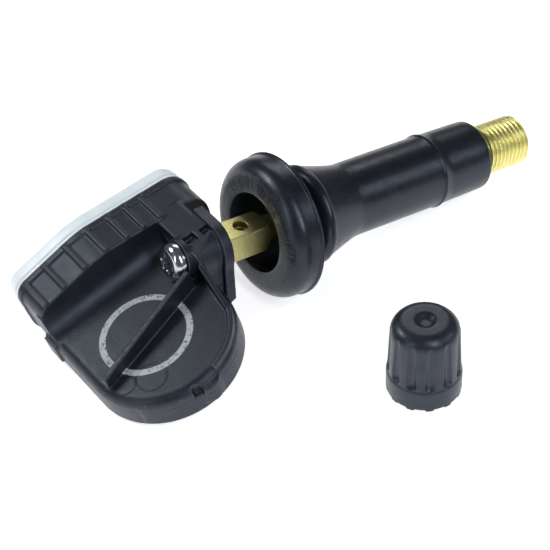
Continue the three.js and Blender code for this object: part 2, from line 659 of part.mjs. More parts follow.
function rubberStem() {
  const bore = SHANK_R + GAP;
  const pocketEnd = FLANGE_FACE + FLANGE_POCKET_DEPTH - GAP;
  const grooveEnd = SHOULDER + GROOVE_LENGTH;
  const beadEnd = grooveEnd + BEAD_LENGTH;
  const points = [[RUBBER_END, bore], [pocketEnd, bore], [pocketEnd, FLANGE_POCKET_R - 0.8]];
  points.push([FLANGE_FACE + 1, FLANGE_POCKET_R], [FLANGE_FACE, FLANGE_POCKET_R + 0.3]);
  const steps = 6;
  for (let i = 0; i <= steps; i += 1) {
    const turn = (i / steps) * (Math.PI / 2);
    const flat = FLANGE_R - 0.25 - FLANGE_ROUND;
    points.push([
      FLANGE_FACE + FLANGE_ROUND * (1 - Math.cos(turn)),
      flat + FLANGE_ROUND * Math.sin(turn),
    ]);
  }
  points.push([-0.25, FLANGE_R - 0.25], [0, FLANGE_R], [0.15, FLANGE_R - 0.05]);
  points.push([SHOULDER, FLANGE_R - 0.4], [SHOULDER, GROOVE_R], [grooveEnd, GROOVE_R]);
  points.push([grooveEnd + 0.3, BEAD_R - 0.8], [grooveEnd + 0.9, BEAD_R - 0.1]);
  points.push([beadEnd - 0.2, BEAD_R], [beadEnd, BEAD_R - 0.3]);
  const coneTop = BEAD_R - CONE_STEP;
  const coneSteps = 5;
  for (let i = 1; i <= coneSteps; i += 1) {
    const share = i / coneSteps;
    const ease = 1 - (1 - share) ** CONE_SWEEP;
    points.push([beadEnd + CONE_LENGTH * share, coneTop + (NECK_R - coneTop) * ease]);
  }
  points.push([RIDGE_STATION - RIDGE_HALF_WIDTH, NECK_R]);
  points.push([RIDGE_STATION, NECK_R + RIDGE_HEIGHT]);
  points.push([RIDGE_STATION + RIDGE_HALF_WIDTH, NECK_R]);
  points.push([RUBBER_END - RUBBER_END_EDGE, RUBBER_END_R]);
  points.push([RUBBER_END, RUBBER_END_R - RUBBER_END_EDGE]);
  return turned(points, ROUND, true);
}

// ---------------------------------------------------------------- valve core, in the stem frame
function coreBarrel() {
  const neckEnd = BARREL_START + BARREL_NECK_LENGTH;
  return turned([
    [BARREL_START, PIN_R + PIN_CLEARANCE], [BARREL_START, BARREL_NECK_R], [neckEnd, BARREL_NECK_R],
    [neckEnd, BARREL_R], [BARREL_END, BARREL_R], [BARREL_END, SPRING_CHAMBER_R],
    [SPRING_CHAMBER_START, SPRING_CHAMBER_R], [SPRING_CHAMBER_START, PIN_R + PIN_CLEARANCE],
  ], FINE, true);
}

function coreGasket() {
  const start = BARREL_START + (BARREL_NECK_LENGTH - GASKET_LENGTH) / 2;
  return ring(start, start + GASKET_LENGTH, BARREL_NECK_R + GAP / 2, CORE_CHAMBER_R - GAP / 2);
}

const coreSeatCup = () => ring(CUP_END - CUP_LENGTH, CUP_END, PIN_R + GAP / 2, CUP_R);

function corePin() {
  const headR = PIN_R + PIN_HEAD_PROUD;
  return turned([
    [PIN_HEAD_START, 0], [PIN_HEAD_START, headR], [PIN_HEAD_END, headR], [PIN_HEAD_END, PIN_R],
    [PIN_COLLAR_STATION, PIN_R], [PIN_COLLAR_STATION, PIN_COLLAR_R],
    [PIN_COLLAR_STATION + PIN_COLLAR_LENGTH, PIN_COLLAR_R],
    [PIN_COLLAR_STATION + PIN_COLLAR_LENGTH, PIN_R], [PIN_END, PIN_R], [PIN_END, 0],
  ], FINE);
}

class Helix extends THREE.Curve {
  constructor(radius, from, to, turns) {
    super();
    Object.assign(this, { radius, from, to, turns });
  }

  getPoint(share, target = new THREE.Vector3()) {
    const turn = share * this.turns * 2 * Math.PI;
    const station = this.from + share * (this.to - this.from);
    return target.set(station, this.radius * Math.cos(turn), this.radius * Math.sin(turn));
  }
}

function coreSpring() {
  const from = SPRING_CHAMBER_START + GAP + SPRING_WIRE_R;
  const to = PIN_COLLAR_STATION - GAP - SPRING_WIRE_R;
  const coilR = (PIN_R + SPRING_CHAMBER_R) / 2;
  const section = new THREE.Shape();
  section.absarc(0, 0, SPRING_WIRE_R, 0, 2 * Math.PI, false);
  return solid(new THREE.ExtrudeGeometry(section, {
    steps: SPRING_TURNS * 12,
    curveSegments: 3,
    bevelEnabled: false,
    extrudePath: new Helix(coilR, from, to, SPRING_TURNS),
  }));
}

// ---------------------------------------------------------------- cap, in the cap frame
const capBoreTop = CAP_HEIGHT - CAP_WALL_TOP;
const upright = (body) => body.rotate([0, -90, 0]);

function capShell() {
  const points = [[0, 0], [0, CAP_COLLAR_R - 0.3], [0.3, CAP_COLLAR_R]];
  points.push([CAP_COLLAR_HEIGHT - 0.2, CAP_COLLAR_R], [CAP_COLLAR_HEIGHT, CAP_R]);
  const steps = 4;
  for (let i = 0; i <= steps; i += 1) {
    const turn = (i / steps) * (Math.PI / 2);
    points.push([
      CAP_HEIGHT - CAP_EDGE * (1 - Math.sin(turn)),
      CAP_TOP_R - CAP_EDGE * (1 - Math.cos(turn)),
    ]);
  }
  points.push([CAP_HEIGHT, CAP_DIMPLE_R], [CAP_HEIGHT - CAP_DIMPLE_DEPTH, CAP_DIMPLE_R / 2]);
  points.push([CAP_HEIGHT - CAP_DIMPLE_DEPTH, 0]);
  const shell = cut(turned(points, ROUND), rod(-1, capBoreTop, CAP_BORE_R, ROUND));
  const flutes = [];
  for (let i = 0; i < CAP_FLUTES; i += 1) {
    const turn = (i / CAP_FLUTES) * 360;
    const reach = CAP_R + CAP_FLUTE_R - CAP_FLUTE_DEPTH;
    const flute = rod(CAP_COLLAR_HEIGHT + 0.2, CAP_HEIGHT + 1, CAP_FLUTE_R, 10);
    flutes.push(flute.translate([0, reach, 0]).rotate([turn, 0, 0]));
  }
  return upright(cut(shell, ...flutes));
}

function capSeal() {
  const end = capBoreTop - GAP;
  return upright(rod(end - CAP_SEAL_THICKNESS, end, CAP_BORE_R - GAP));
}

// ---------------------------------------------------------------- resting pose
// The sensor lies on its flange and on the thin end's far lower edge, or on the rubber's end if
// that comes down first. The dip is the stem's slope down to its tip. On the thin end it solves
// a cos(dip) + b sin(dip) + c = 0.
function restingDip() {
  const reach = ROUND_END_R - ROUND_END_X - BOTTOM_EDGE;
  const drop = -BOTTOM - BOTTOM_EDGE;
  const [sine, cosine] = [Math.sin(STEM_TO_HOUSING_ANGLE), Math.cos(STEM_TO_HOUSING_ANGLE)];
  const a = FLANGE_R - reach * sine - drop * cosine;
  const b = -HEAD_STATION + reach * cosine - drop * sine;
  const c = -BOTTOM_EDGE;
  const onThinEnd = Math.atan2(b, a) - Math.acos(-c / Math.hypot(a, b));
  const onRubberEnd = Math.atan2(FLANGE_R - RUBBER_END_R, RUBBER_END - RUBBER_END_EDGE);
  return Math.min(onThinEnd, onRubberEnd);
}

// ---------------------------------------------------------------- assembly
const BLACK_NYLON = 0x2a2d33;
const BLACK_RUBBER = 0x202329;
const BRASS = 0xc9b347;
const STEEL = 0xc4c8cf;

const housing = new THREE.Group();
housing.position.set(HEAD_STATION, 0, 0);
housing.rotation.y = -STEM_TO_HOUSING_ANGLE;
housing.add(
  mesh('housing_shell', housingShell(), BLACK_NYLON, 0.5),
  mesh('housing_lid', housingLid(), 0xcfe0dc, 0.35),
  mesh('lid_seal', lidSeal(), 0xe4ece9, 0.4),
  mesh('port_filter', portFilter(), 0xe8e8e4, 0.8),
  mesh('circuit_board', circuitBoard(), 0x1f5b38, 0.5),
  mesh('pressure_sensor_chip', pressureChip(), 0x1c1c1e, 0.6),
  mesh('control_chip', chip(CONTROL_X, 4, 4, CHIP_THICKNESS), 0x1c1c1e, 0.5),
  mesh('crystal_can', chip(CRYSTAL_X, 2.5, 3.2, 0.8), STEEL, 0.3, 1),
  mesh('antenna_core', antennaCore(), 0x37373a, 0.7),
  mesh('antenna_coil', antennaCoil(), 0xa4582e, 0.4, 1),
  mesh('battery_cell', batteryCell(), STEEL, 0.3, 1),
  mesh('battery_tab_top', batteryTab(ROUND_END_X - 6, UPPER_TAB_Z, boardMiddle), STEEL, 0.35, 1),
  mesh('battery_tab_bottom', batteryTab(ROUND_END_X + 2, LOWER_TAB_Z, boardMiddle), STEEL, 0.35, 1),
);

const sensor = new THREE.Group();
sensor.rotation.y = restingDip();
sensor.add(
  housing,
  mesh('fixing_screw', fixingScrew(), STEEL, 0.2, 1),
  mesh('brass_stem', brassStem(), BRASS, 0.3, 1),
  mesh('rubber_stem', rubberStem(), BLACK_RUBBER, 0.6),
  mesh('core_barrel', coreBarrel(), BRASS, 0.3, 1),
  mesh('core_gasket', coreGasket(), 0xd8d4cc, 0.5),
  mesh('core_pin', corePin(), BRASS, 0.3, 1),
  mesh('core_seat_cup', coreSeatCup(), BLACK_RUBBER, 0.7),
  mesh('core_spring', coreSpring(), STEEL, 0.3, 1),
);

const cap = new THREE.Group();
cap.position.set(...CAP_FROM_FLANGE, -FLANGE_R * Math.cos(sensor.rotation.y));
cap.add(
  mesh('cap_shell', capShell(), 0x30343a, 0.5),
  mesh('cap_seal', capSeal(), BLACK_RUBBER, 0.8),
);

// The origin is under the middle of the whole, on the table.
const tirePressureMonitor = new THREE.Group();
tirePressureMonitor.add(sensor, cap);
tirePressureMonitor.updateMatrixWorld(true);
const extent = new THREE.Box3().setFromObject(tirePressureMonitor, true);
const middle = extent.getCenter(new THREE.Vector3());
tirePressureMonitor.position.set(-middle.x, -middle.y, -extent.min.z);

export default tirePressureMonitor;
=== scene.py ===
# Looks of the snap-in tire pressure sensor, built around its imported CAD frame.
# Shapes are made in millimetres in a local frame and placed in the shared frame, in metres.
import json
import math

import bmesh
import bpy
from mathutils import Matrix, Vector

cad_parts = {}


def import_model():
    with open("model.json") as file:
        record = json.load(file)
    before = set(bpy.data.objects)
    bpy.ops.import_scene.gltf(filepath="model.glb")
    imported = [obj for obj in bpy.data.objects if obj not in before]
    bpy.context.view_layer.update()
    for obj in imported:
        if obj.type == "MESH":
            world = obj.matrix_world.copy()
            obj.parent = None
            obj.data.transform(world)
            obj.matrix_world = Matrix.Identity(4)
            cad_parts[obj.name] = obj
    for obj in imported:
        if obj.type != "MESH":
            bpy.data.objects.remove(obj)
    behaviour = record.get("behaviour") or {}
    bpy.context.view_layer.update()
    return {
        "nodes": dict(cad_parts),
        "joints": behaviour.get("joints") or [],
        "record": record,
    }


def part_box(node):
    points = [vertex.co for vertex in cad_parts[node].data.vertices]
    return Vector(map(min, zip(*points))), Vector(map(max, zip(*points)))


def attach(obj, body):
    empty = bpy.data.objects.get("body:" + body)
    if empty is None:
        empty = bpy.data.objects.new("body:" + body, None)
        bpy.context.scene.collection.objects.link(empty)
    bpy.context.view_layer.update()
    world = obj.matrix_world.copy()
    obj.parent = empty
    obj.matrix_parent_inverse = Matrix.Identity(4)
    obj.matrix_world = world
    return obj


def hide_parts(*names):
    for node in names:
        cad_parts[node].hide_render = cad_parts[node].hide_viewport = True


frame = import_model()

MM = 0.001

# ------------------------------------------------------------------ local frames
MOUNTS = {mount["name"]: mount for mount in frame["record"]["mounts"]}
PIN_JOINT = next(joint for joint in frame["joints"] if joint["name"] == "valve_pin_press")
STEM_TO_HOUSING_ANGLE = math.radians(24.5)
HEAD_STATION = -19.2

UP_Y = Vector((0, 1, 0))
STEM_X = -Vector(PIN_JOINT["axis"]).normalized()
STEM_Z = STEM_X.cross(UP_Y)
DIP = math.atan2(-STEM_X.z, STEM_X.x)
SEAT_POINT = (0.4, 0, 8.2)  # the rim seat mount, in the stem frame
TILT = STEM_TO_HOUSING_ANGLE - DIP
HOUSING_X = Vector((math.cos(TILT), 0, math.sin(TILT)))
HOUSING_Z = Vector((-math.sin(TILT), 0, math.cos(TILT)))


def placing(origin, x, y, z):
    """Matrix from local millimetres to the shared frame's metres."""
    turn = Matrix((x, y, z)).transposed().to_4x4()
    return Matrix.Translation(origin) @ turn @ Matrix.Scale(MM, 4)


SEAT_FROM_CENTRE = STEM_X * SEAT_POINT[0] + STEM_Z * SEAT_POINT[2]
FLANGE_CENTRE = Vector(MOUNTS["rim_seat"]["pos_m"]) - SEAT_FROM_CENTRE * MM
CAP_LOW, CAP_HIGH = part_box("cap_shell")
CAP_ORIGIN = Vector(((CAP_LOW.x + CAP_HIGH.x) / 2, (CAP_LOW.y + CAP_HIGH.y) / 2, CAP_LOW.z))

STEM = placing(FLANGE_CENTRE, STEM_X, UP_Y, STEM_Z)
HOUSING = placing(FLANGE_CENTRE + STEM_X * HEAD_STATION * MM, HOUSING_X, UP_Y, HOUSING_Z)
CAP = placing(CAP_ORIGIN, Vector((1, 0, 0)), UP_Y, Vector((0, 0, 1)))


# ------------------------------------------------------------------ mesh helpers
def add_mesh(name, vertices, faces, smooth=True):
    mesh = bpy.data.meshes.new(name)
    mesh.from_pydata([tuple(v) for v in vertices], [], faces)
    mesh.validate()
    piece = bpy.data.objects.new(name, mesh)
    bpy.context.scene.collection.objects.link(piece)
    mesh.polygons.foreach_set("use_smooth", [smooth] * len(mesh.polygons))
    return piece


def outline(corners, steps=8):
    """Closed outline with rounded corners, from (u, v, radius) corners in order."""
    points = []
    for i, corner in enumerate(corners):
        here = Vector(corner[:2])
        radius = corner[2] if len(corner) > 2 else 0
        if radius == 0:
            points.append(here)
            continue
        back = (Vector(corners[i - 1][:2]) - here).normalized()
        on = (Vector(corners[(i + 1) % len(corners)][:2]) - here).normalized()
        half = math.acos(max(-1, min(1, back.dot(on)))) / 2
        centre = here + (back + on).normalized() * (radius / math.sin(half))
        reach = radius / math.tan(half)
        start = here + back * reach - centre
        end = here + on * reach - centre
        turn = math.atan2(start.x * end.y - start.y * end.x, start.dot(end))
        for step in range(steps + 1):
            share = turn * step / steps
            cos, sin = math.cos(share), math.sin(share)
            points.append(centre + Vector((start.x * cos - start.y * sin, start.x * sin + start.y * cos)))
    return points


def inset(points, distance):
    """The outline moved inwards by a distance, for an outline drawn counter-clockwise."""
    moved = []
    for i, here in enumerate(points):
        before, after = points[i - 1], points[(i + 1) % len(points)]
        first = here - before
        second = after - here
        first_normal = Vector((-first.y, first.x)).normalized()
        second_normal = Vector((-second.y, second.x)).normalized()
        middle = (first_normal + second_normal).normalized()
        moved.append(here + middle * (distance / max(0.5, middle.dot(first_normal))))
    return moved


def signed_area(points):
    return sum(a.x * b.y - a.y * b.x for a, b in zip(points, points[1:] + points[:1])) / 2


def prism(points, place, low, high, low_edge=0, high_edge=0, steps=4):
    """Closed solid from an outline, from low to high, with rounded rims. place gives (u, v, w) in 3-D."""
    points = [Vector(p) for p in points]
    if signed_area(points) < 0:
        points.reverse()
    rings = []
    if low_edge:
        for step in range(steps):
            turn = math.pi / 2 * step / steps
            drawn_in = inset(points, low_edge * (1 - math.sin(turn)))
            rings.append((drawn_in, low + low_edge * (1 - math.cos(turn))))
        rings.append((points, low + low_edge))
    else:
        rings.append((points, low))
    if high_edge:
        rings.append((points, high - high_edge))
        for step in range(steps - 1, -1, -1):
            turn = math.pi / 2 * step / steps
            drawn_in = inset(points, high_edge * (1 - math.sin(turn)))
            rings.append((drawn_in, high - high_edge * (1 - math.cos(turn))))
    else:
        rings.append((points, high))
    n = len(points)
    vertices = [place(p.x, p.y, w) for ring, w in rings for p in ring]
    faces = [tuple(reversed(range(n))), tuple(range((len(rings) - 1) * n, len(rings) * n))]
    for r in range(len(rings) - 1):
        for i in range(n):
            j = (i + 1) % n
            faces.append((r * n + i, r * n + j, (r + 1) * n + j, (r + 1) * n + i))
    return facing_out(add_mesh("solid", vertices, faces))


def facing_out(piece):
    work = bmesh.new()
    work.from_mesh(piece.data)
    bmesh.ops.recalc_face_normals(work, faces=work.faces)
    work.to_mesh(piece.data)
    work.free()
    return piece


along_x = lambda u, v, w: (w, u, v)
along_y = lambda u, v, w: (u, w, v)
along_z = lambda u, v, w: (u, v, w)


def box(low, high):
    points = [(low[0], low[1]), (high[0], low[1]), (high[0], high[1]), (low[0], high[1])]
    return prism(points, along_z, low[2], high[2])


def circle(x, y, radius, segments=64):
    turns = [2 * math.pi * i / segments for i in range(segments)]
    return [Vector((x + radius * math.cos(t), y + radius * math.sin(t))) for t in turns]


def lathe(profile, segments=96, hollow=False, shape=None, name="turned"):
    """Solid turned about +X from (station, radius) points. shape(station, radius, turn) may move a point."""
    rings = []
    vertices = []
    for station, radius in profile:
        if radius < 1e-6:
            rings.append([len(vertices)])
            vertices.append((station, 0, 0))
            continue
        ring = []
        for i in range(segments):
            turn = 2 * math.pi * i / segments
            s, r = shape(station, radius, turn) if shape else (station, radius)
            ring.append(len(vertices))
            vertices.append((s, r * math.cos(turn), r * math.sin(turn)))
        rings.append(ring)
    pairs = list(zip(rings, rings[1:]))
    if hollow:
        pairs.append((rings[-1], rings[0]))
    faces = []
    for a, b in pairs:
        for i in range(segments):
            j = (i + 1) % segments
            if len(a) == 1 and len(b) == 1:
                break
            if len(a) == 1:
                faces.append((a[0], b[i], b[j]))
            elif len(b) == 1:
                faces.append((a[i], b[0], a[j]))
            else:
                faces.append((a[i], b[i], b[j], a[j]))
    return facing_out(add_mesh(name, vertices, faces))


def softened(points, radius=0.1, steps=3, closed=False):
    """A profile with small rounded corners, kept sharp where it meets the axis."""
    result = []
    for i, point in enumerate(points):
        here = Vector(point)
        if not closed and i in (0, len(points) - 1):
            result.append(here)
            continue
        before = Vector(points[i - 1])
        after = Vector(points[(i + 1) % len(points)])
        reach = min(radius, (before - here).length * 0.45, (after - here).length * 0.45)
        start = here + (before - here).normalized() * reach
        end = here + (after - here).normalized() * reach
        for step in range(steps + 1):
            t = step / steps
            result.append(start * (1 - t) ** 2 + here * 2 * t * (1 - t) + end * t ** 2)
    return [(p.x, p.y) for p in result]


def divided(profile, length):
    """The profile with extra points, so that no stretch is longer than a length."""
    result = [profile[0]]
    for a, b in zip(profile, profile[1:]):
        parts = max(1, math.ceil(math.dist(a, b) / length))
        for i in range(1, parts + 1):
            result.append((a[0] + (b[0] - a[0]) * i / parts, a[1] + (b[1] - a[1]) * i / parts))
    return result


def evaluated(piece):
    bpy.context.view_layer.update()
    mesh = bpy.data.meshes.new_from_object(piece.evaluated_get(bpy.context.evaluated_depsgraph_get()))
    piece.modifiers.clear()
    old, piece.data = piece.data, mesh
    bpy.data.meshes.remove(old)
    return piece


def boolean(operation, target, tools):
    for tool in tools:
        change = target.modifiers.new("change", "BOOLEAN")
        change.operation = operation
        change.solver = "MANIFOLD"
        change.object = tool
        evaluated(target)
        bpy.data.objects.remove(tool)
    return target


def union(first, *others):
    return boolean("UNION", first, others)


def cut(target, *tools):
    return boolean("DIFFERENCE", target, tools)


def common(first, *others):
    return boolean("INTERSECT", first, others)


def moulded(piece, voxel, rounds):
    """Blends the piece's edges and corners as a mould does."""
    remesh = piece.modifiers.new("remesh", "REMESH")
    remesh.mode = "VOXEL"
    remesh.voxel_size = voxel
    remesh.use_smooth_shade = True
    soften = piece.modifiers.new("soften", "SMOOTH")
    soften.factor = 0.5
    soften.iterations = rounds
    return evaluated(piece)


def turned_by(piece, matrix):
    piece.data.transform(matrix)
    return piece


STEM_IN_HOUSING = Matrix.Rotation(STEM_TO_HOUSING_ANGLE, 4, "Y") @ Matrix.Translation((-HEAD_STATION, 0, 0))


def from_stem(piece):
    return turned_by(piece, STEM_IN_HOUSING)


def place(piece, name, matrix, body, node, slot, material, sharp=None):
    """Puts a finished piece in the shared frame in place of its CAD node."""
    piece.name = name
    piece.data.name = name
    piece.data.transform(matrix)
    if sharp is not None:
        piece.data.set_sharp_from_angle(angle=math.radians(sharp))
    piece.data.materials.clear()
    piece.data.materials.append(material)
    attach(piece, body)
    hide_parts(node)
    return piece


# ------------------------------------------------------------------ materials
class Nodes:
    """A material's node tree, with short calls for the nodes used here."""

    def __init__(self, name):
        self.material = bpy.data.materials.new(name)
        self.material.use_nodes = True
        self.tree = self.material.node_tree
        self.shader = self.tree.nodes["Principled BSDF"]

    def add(self, kind, inputs=None, **settings):
        node = self.tree.nodes.new("ShaderNode" + kind)
        for key, value in settings.items():
            setattr(node, key, value)
        for key, value in (inputs or {}).items():
            self.put(node.inputs[key], value)
        return node

    def put(self, socket, value):
        if isinstance(value, bpy.types.NodeSocket):
            self.tree.links.new(value, socket)
        else:
            socket.default_value = value

    def math(self, operation, *values, clamp=False):
        node = self.add("Math", operation=operation, use_clamp=clamp)
        for i, value in enumerate(values):
            self.put(node.inputs[i], value)
        return node.outputs[0]

    def local(self, matrix):
        """Local millimetres of a point of the piece at rest."""
        where = self.add("TexCoord").outputs["Object"]
        location, rotation, scale = matrix.decompose()
        node = self.add("Mapping", {"Vector": where}, vector_type="TEXTURE")
        node.inputs["Location"].default_value = location
        node.inputs["Rotation"].default_value = rotation.to_euler()
        node.inputs["Scale"].default_value = scale
        return node.outputs[0]

    def split(self, vector):
        node = self.add("SeparateXYZ", {0: vector})
        return node.outputs[0], node.outputs[1], node.outputs[2]

    def noise(self, vector, scale, detail=4, roughness=0.55):
        settings = {"Vector": vector, "Scale": scale, "Detail": detail, "Roughness": roughness}
        return self.add("TexNoise", settings).outputs["Fac"]

    def stretched(self, vector, x, y, z):
        return self.add("Mapping", {"Vector": vector, "Scale": (x, y, z)}).outputs[0]

    def range(self, value, low, high, to_low=0.0, to_high=1.0, smooth=False):
        node = self.add("MapRange", {0: value, 1: low, 2: high, 3: to_low, 4: to_high})
        if smooth:
            node.interpolation_type = "SMOOTHSTEP"
        return node.outputs[0]

    def blend(self, factor, first, second):
        node = self.add("Mix", data_type="RGBA")
        self.put(node.inputs[0], factor)
        self.put(node.inputs[6], first if isinstance(first, bpy.types.NodeSocket) else (*first, 1))
        self.put(node.inputs[7], second if isinstance(second, bpy.types.NodeSocket) else (*second, 1))
        return node.outputs[2]

    def length(self, x, y):
        return self.math("SQRT", self.math("ADD", self.math("MULTIPLY", x, x), self.math("MULTIPLY", y, y)))

    def near_circle(self, x, y, centre, radius, width):
        """1 on a circle's line in the plane (x, y), and 0 beyond half its width."""
        far = self.length(self.math("SUBTRACT", x, centre[0]), self.math("SUBTRACT", y, centre[1]))
        off = self.math("ABSOLUTE", self.math("SUBTRACT", far, radius))
        return self.range(off, width / 2 - 0.04, width / 2 + 0.04, 1.0, 0.0)

    def bump(self, height, metres, normal=None):
        inputs = {"Height": height, "Distance": metres, "Strength": 1.0}
        if normal is not None:
            inputs["Normal"] = normal
        return self.add("Bump", inputs).outputs[0]

    def finish(self, color, roughness, normal=None, **others):
        linked = isinstance(color, bpy.types.NodeSocket)
        self.put(self.shader.inputs["Base Color"], color if linked else (*color, 1))
        self.put(self.shader.inputs["Roughness"], roughness)
        if normal is not None:
            self.put(self.shader.inputs["Normal"], normal)
        for key, value in others.items():
            self.put(self.shader.inputs[key.replace("_", " ").title().replace("Ior", "IOR")], value)
        return self.material


def surface(name, matrix, color, second, roughness, grain, depth, metallic=0.0, spread=0.06, **others):
    """A plain finish: two close tones, a varying roughness and a fine grain, in local millimetres."""
    n = Nodes(name)
    where = n.local(matrix)
    tone = n.range(n.noise(where, 0.55, 5), 0.35, 0.65)
    fine = n.noise(where, grain, 3)
    shade = n.blend(tone, color, second)
    rough = n.range(n.noise(where, 1.3, 4), 0.3, 0.7, roughness - spread, roughness + spread)
    return n.finish(shade, rough, n.bump(fine, depth), Metallic=metallic, **others)


COOL = (0.76, 0.86, 1.0, 1.0)  # tint of the black plastics' sheen
RING_CENTRE = (-8.4, -4.9)
RING_RADIUS = 6.3
MOULD_PINS = [((-15.3, -9.6), 1.55), ((-11.9, -11.4), 2.2)]
THIN_TOP = -3.25  # top of the thin round end, in the housing frame


def nylon():
    n = Nodes("glass_filled_nylon")
    where = n.local(HOUSING)
    x, y, z = n.split(where)
    cloud = n.range(n.noise(where, 0.35, 5, 0.6), 0.3, 0.7)
    shade = n.blend(cloud, (0.009, 0.0105, 0.014), (0.016, 0.018, 0.024))
    # Lighter glass-fibre flecks: partly the fibres' own colour, partly a painted sparkle standing in for their
    # glints.
    fleck_and_sparkle = n.range(n.noise(n.stretched(where, 1, 2.2, 1), 5.5, 2, 0.7), 0.62, 0.74)
    shade = n.blend(n.math("MULTIPLY", fleck_and_sparkle, 0.3), shade, (0.055, 0.06, 0.08))
    # Convex edges lightened by pointiness: partly whitened wear on the edges, partly a painted edge highlight.
    edge = n.range(n.add("NewGeometry").outputs["Pointiness"], 0.515, 0.56)
    shade = n.blend(n.math("MULTIPLY", edge, 0.4), shade, (0.10, 0.105, 0.12))
    low = n.range(z, THIN_TOP - 0.3, THIN_TOP - 0.12)
    flat = n.math("MULTIPLY", low, n.range(z, THIN_TOP + 0.12, THIN_TOP + 0.25, 1.0, 0.0))
    line = n.near_circle(x, y, RING_CENTRE, RING_RADIUS, 0.95)
    worn = n.range(n.noise(where, 2.6, 4, 0.7), 0.36, 0.47)
    ink = n.math("MULTIPLY", n.math("MULTIPLY", line, flat), worn)
    shade = n.blend(n.math("MULTIPLY", ink, 0.88), shade, (0.56, 0.58, 0.60))
    grain = n.noise(where, 9.0, 3, 0.6)
    fibre = n.noise(n.stretched(where, 1, 1.6, 1), 3.6, 3, 0.75)
    height = n.math("ADD", n.math("MULTIPLY", grain, 0.35), n.math("MULTIPLY", fibre, 0.65))
    normal = n.bump(height, 0.00004)
    for centre, radius in MOULD_PINS:
        mark = n.math("MULTIPLY", n.near_circle(x, y, centre, radius, 0.2), flat)
        normal = n.bump(n.math("SUBTRACT", 1.0, mark), 0.00012, normal)
    parting = n.range(n.math("ABSOLUTE", n.math("SUBTRACT", z, THIN_TOP - 2.0)), 0.05, 0.12, 1.0, 0.0)
    parting = n.math("MULTIPLY", parting, n.range(y, 3.4, 3.6, 1.0, 0.0))
    normal = n.bump(n.math("SUBTRACT", 1.0, parting), 0.0001, normal)
    rough = n.range(n.noise(where, 1.1, 4), 0.3, 0.7, 0.34, 0.45)
    rough = n.math("ADD", rough, n.math("MULTIPLY", ink, 0.15))
    return n.finish(shade, rough, normal, Specular_Ior_Level=0.5, Specular_Tint=COOL)


def lid_plastic():
    n = Nodes("pale_lid_plastic")
    where = n.local(HOUSING)
    cloud = n.range(n.noise(where, 0.3, 4), 0.3, 0.7)
    shade = n.blend(cloud, (0.72, 0.81, 0.81), (0.86, 0.92, 0.93))
    grain = n.noise(where, 7.0, 3)
    rough = n.range(n.noise(where, 0.9, 4), 0.3, 0.7, 0.28, 0.4)
    return n.finish(shade, rough, n.bump(grain, 0.000008), Subsurface_Weight=0.25, Subsurface_Scale=0.002,
                    Subsurface_Radius=(1, 1, 1))


def rubber():
    n = Nodes("moulded_rubber")
    where = n.local(STEM)
    x, y, z = n.split(where)
    cloud = n.range(n.noise(where, 0.28, 5, 0.6), 0.32, 0.68)
    shade = n.blend(cloud, (0.007, 0.008, 0.011), (0.012, 0.0135, 0.019))
    dust = n.range(n.noise(where, 1.6, 6, 0.7), 0.56, 0.75)
    shade = n.blend(n.math("MULTIPLY", dust, 0.2), shade, (0.055, 0.06, 0.08))
    turn = n.math("ARCTAN2", y, z)
    across = n.math("MULTIPLY", turn, 14.0)
    around = n.add("CombineXYZ", {0: across, 1: n.math("MULTIPLY", x, 0.15)}).outputs[0]
    streak = n.noise(around, 3.0, 3, 0.6)
    reach = n.length(y, z)
    face = n.math("MULTIPLY", n.range(reach, 6.0, 6.6), n.range(reach, 8.4, 9.2, 1.0, 0.0))
    face = n.math("MULTIPLY", face, n.range(x, -4.0, -3.2, 1.0, 0.0))
    marks = n.math("MULTIPLY", n.range(streak, 0.52, 0.6), face)
    normal = n.bump(n.noise(where, 3.2, 4, 0.6), 0.000016)
    normal = n.bump(marks, 0.00007, normal)
    rough = n.range(n.noise(where, 0.8, 5, 0.65), 0.3, 0.7, 0.25, 0.38)
    return n.finish(shade, rough, normal, Specular_Ior_Level=0.5, Specular_Tint=COOL)


CROSS_HOLE_STATION = -6.9


def brass():
    n = Nodes("machined_brass")
    where = n.local(STEM)
    x, y, z = n.split(where)
    cloud = n.range(n.noise(where, 0.8, 5, 0.6), 0.3, 0.7)
    shade = n.blend(cloud, (0.74, 0.66, 0.22), (0.92, 0.86, 0.36))
    lines = n.noise(n.stretched(where, 14, 0.5, 0.5), 1.0, 4, 0.7)
    shade = n.blend(n.range(lines, 0.35, 0.7), shade, (0.98, 0.93, 0.46))
    stain = n.range(n.noise(where, 2.2, 5, 0.7), 0.6, 0.75)
    shade = n.blend(n.math("MULTIPLY", stain, 0.4), shade, (0.30, 0.24, 0.09))
    # The brass is darkened in streaks towards its inner end, over the square bar.
    inner_end_darkening = n.math("MULTIPLY", n.range(x, -2.0, 6.0, 1.0, 0.0), n.range(lines, 0.3, 0.7, 0.1, 0.8))
    shade = n.blend(inner_end_darkening, shade, (0.26, 0.24, 0.10))
    # Painted shade inside the cross hole: the brass is darkened down inside the hole.
    off = n.length(n.math("SUBTRACT", x, CROSS_HOLE_STATION), y)
    painted_hole_shade = n.math("MULTIPLY", n.range(off, 1.0, 1.12, 1.0, 0.0), n.range(z, 1.6, 2.1, 1.0, 0.0))
    shade = n.blend(n.math("MULTIPLY", painted_hole_shade, 0.9), shade, (0.10, 0.065, 0.03))
    rough = n.range(lines, 0.3, 0.7, 0.26, 0.44)
    return n.finish(shade, rough, n.bump(lines, 0.00003), Metallic=1.0)


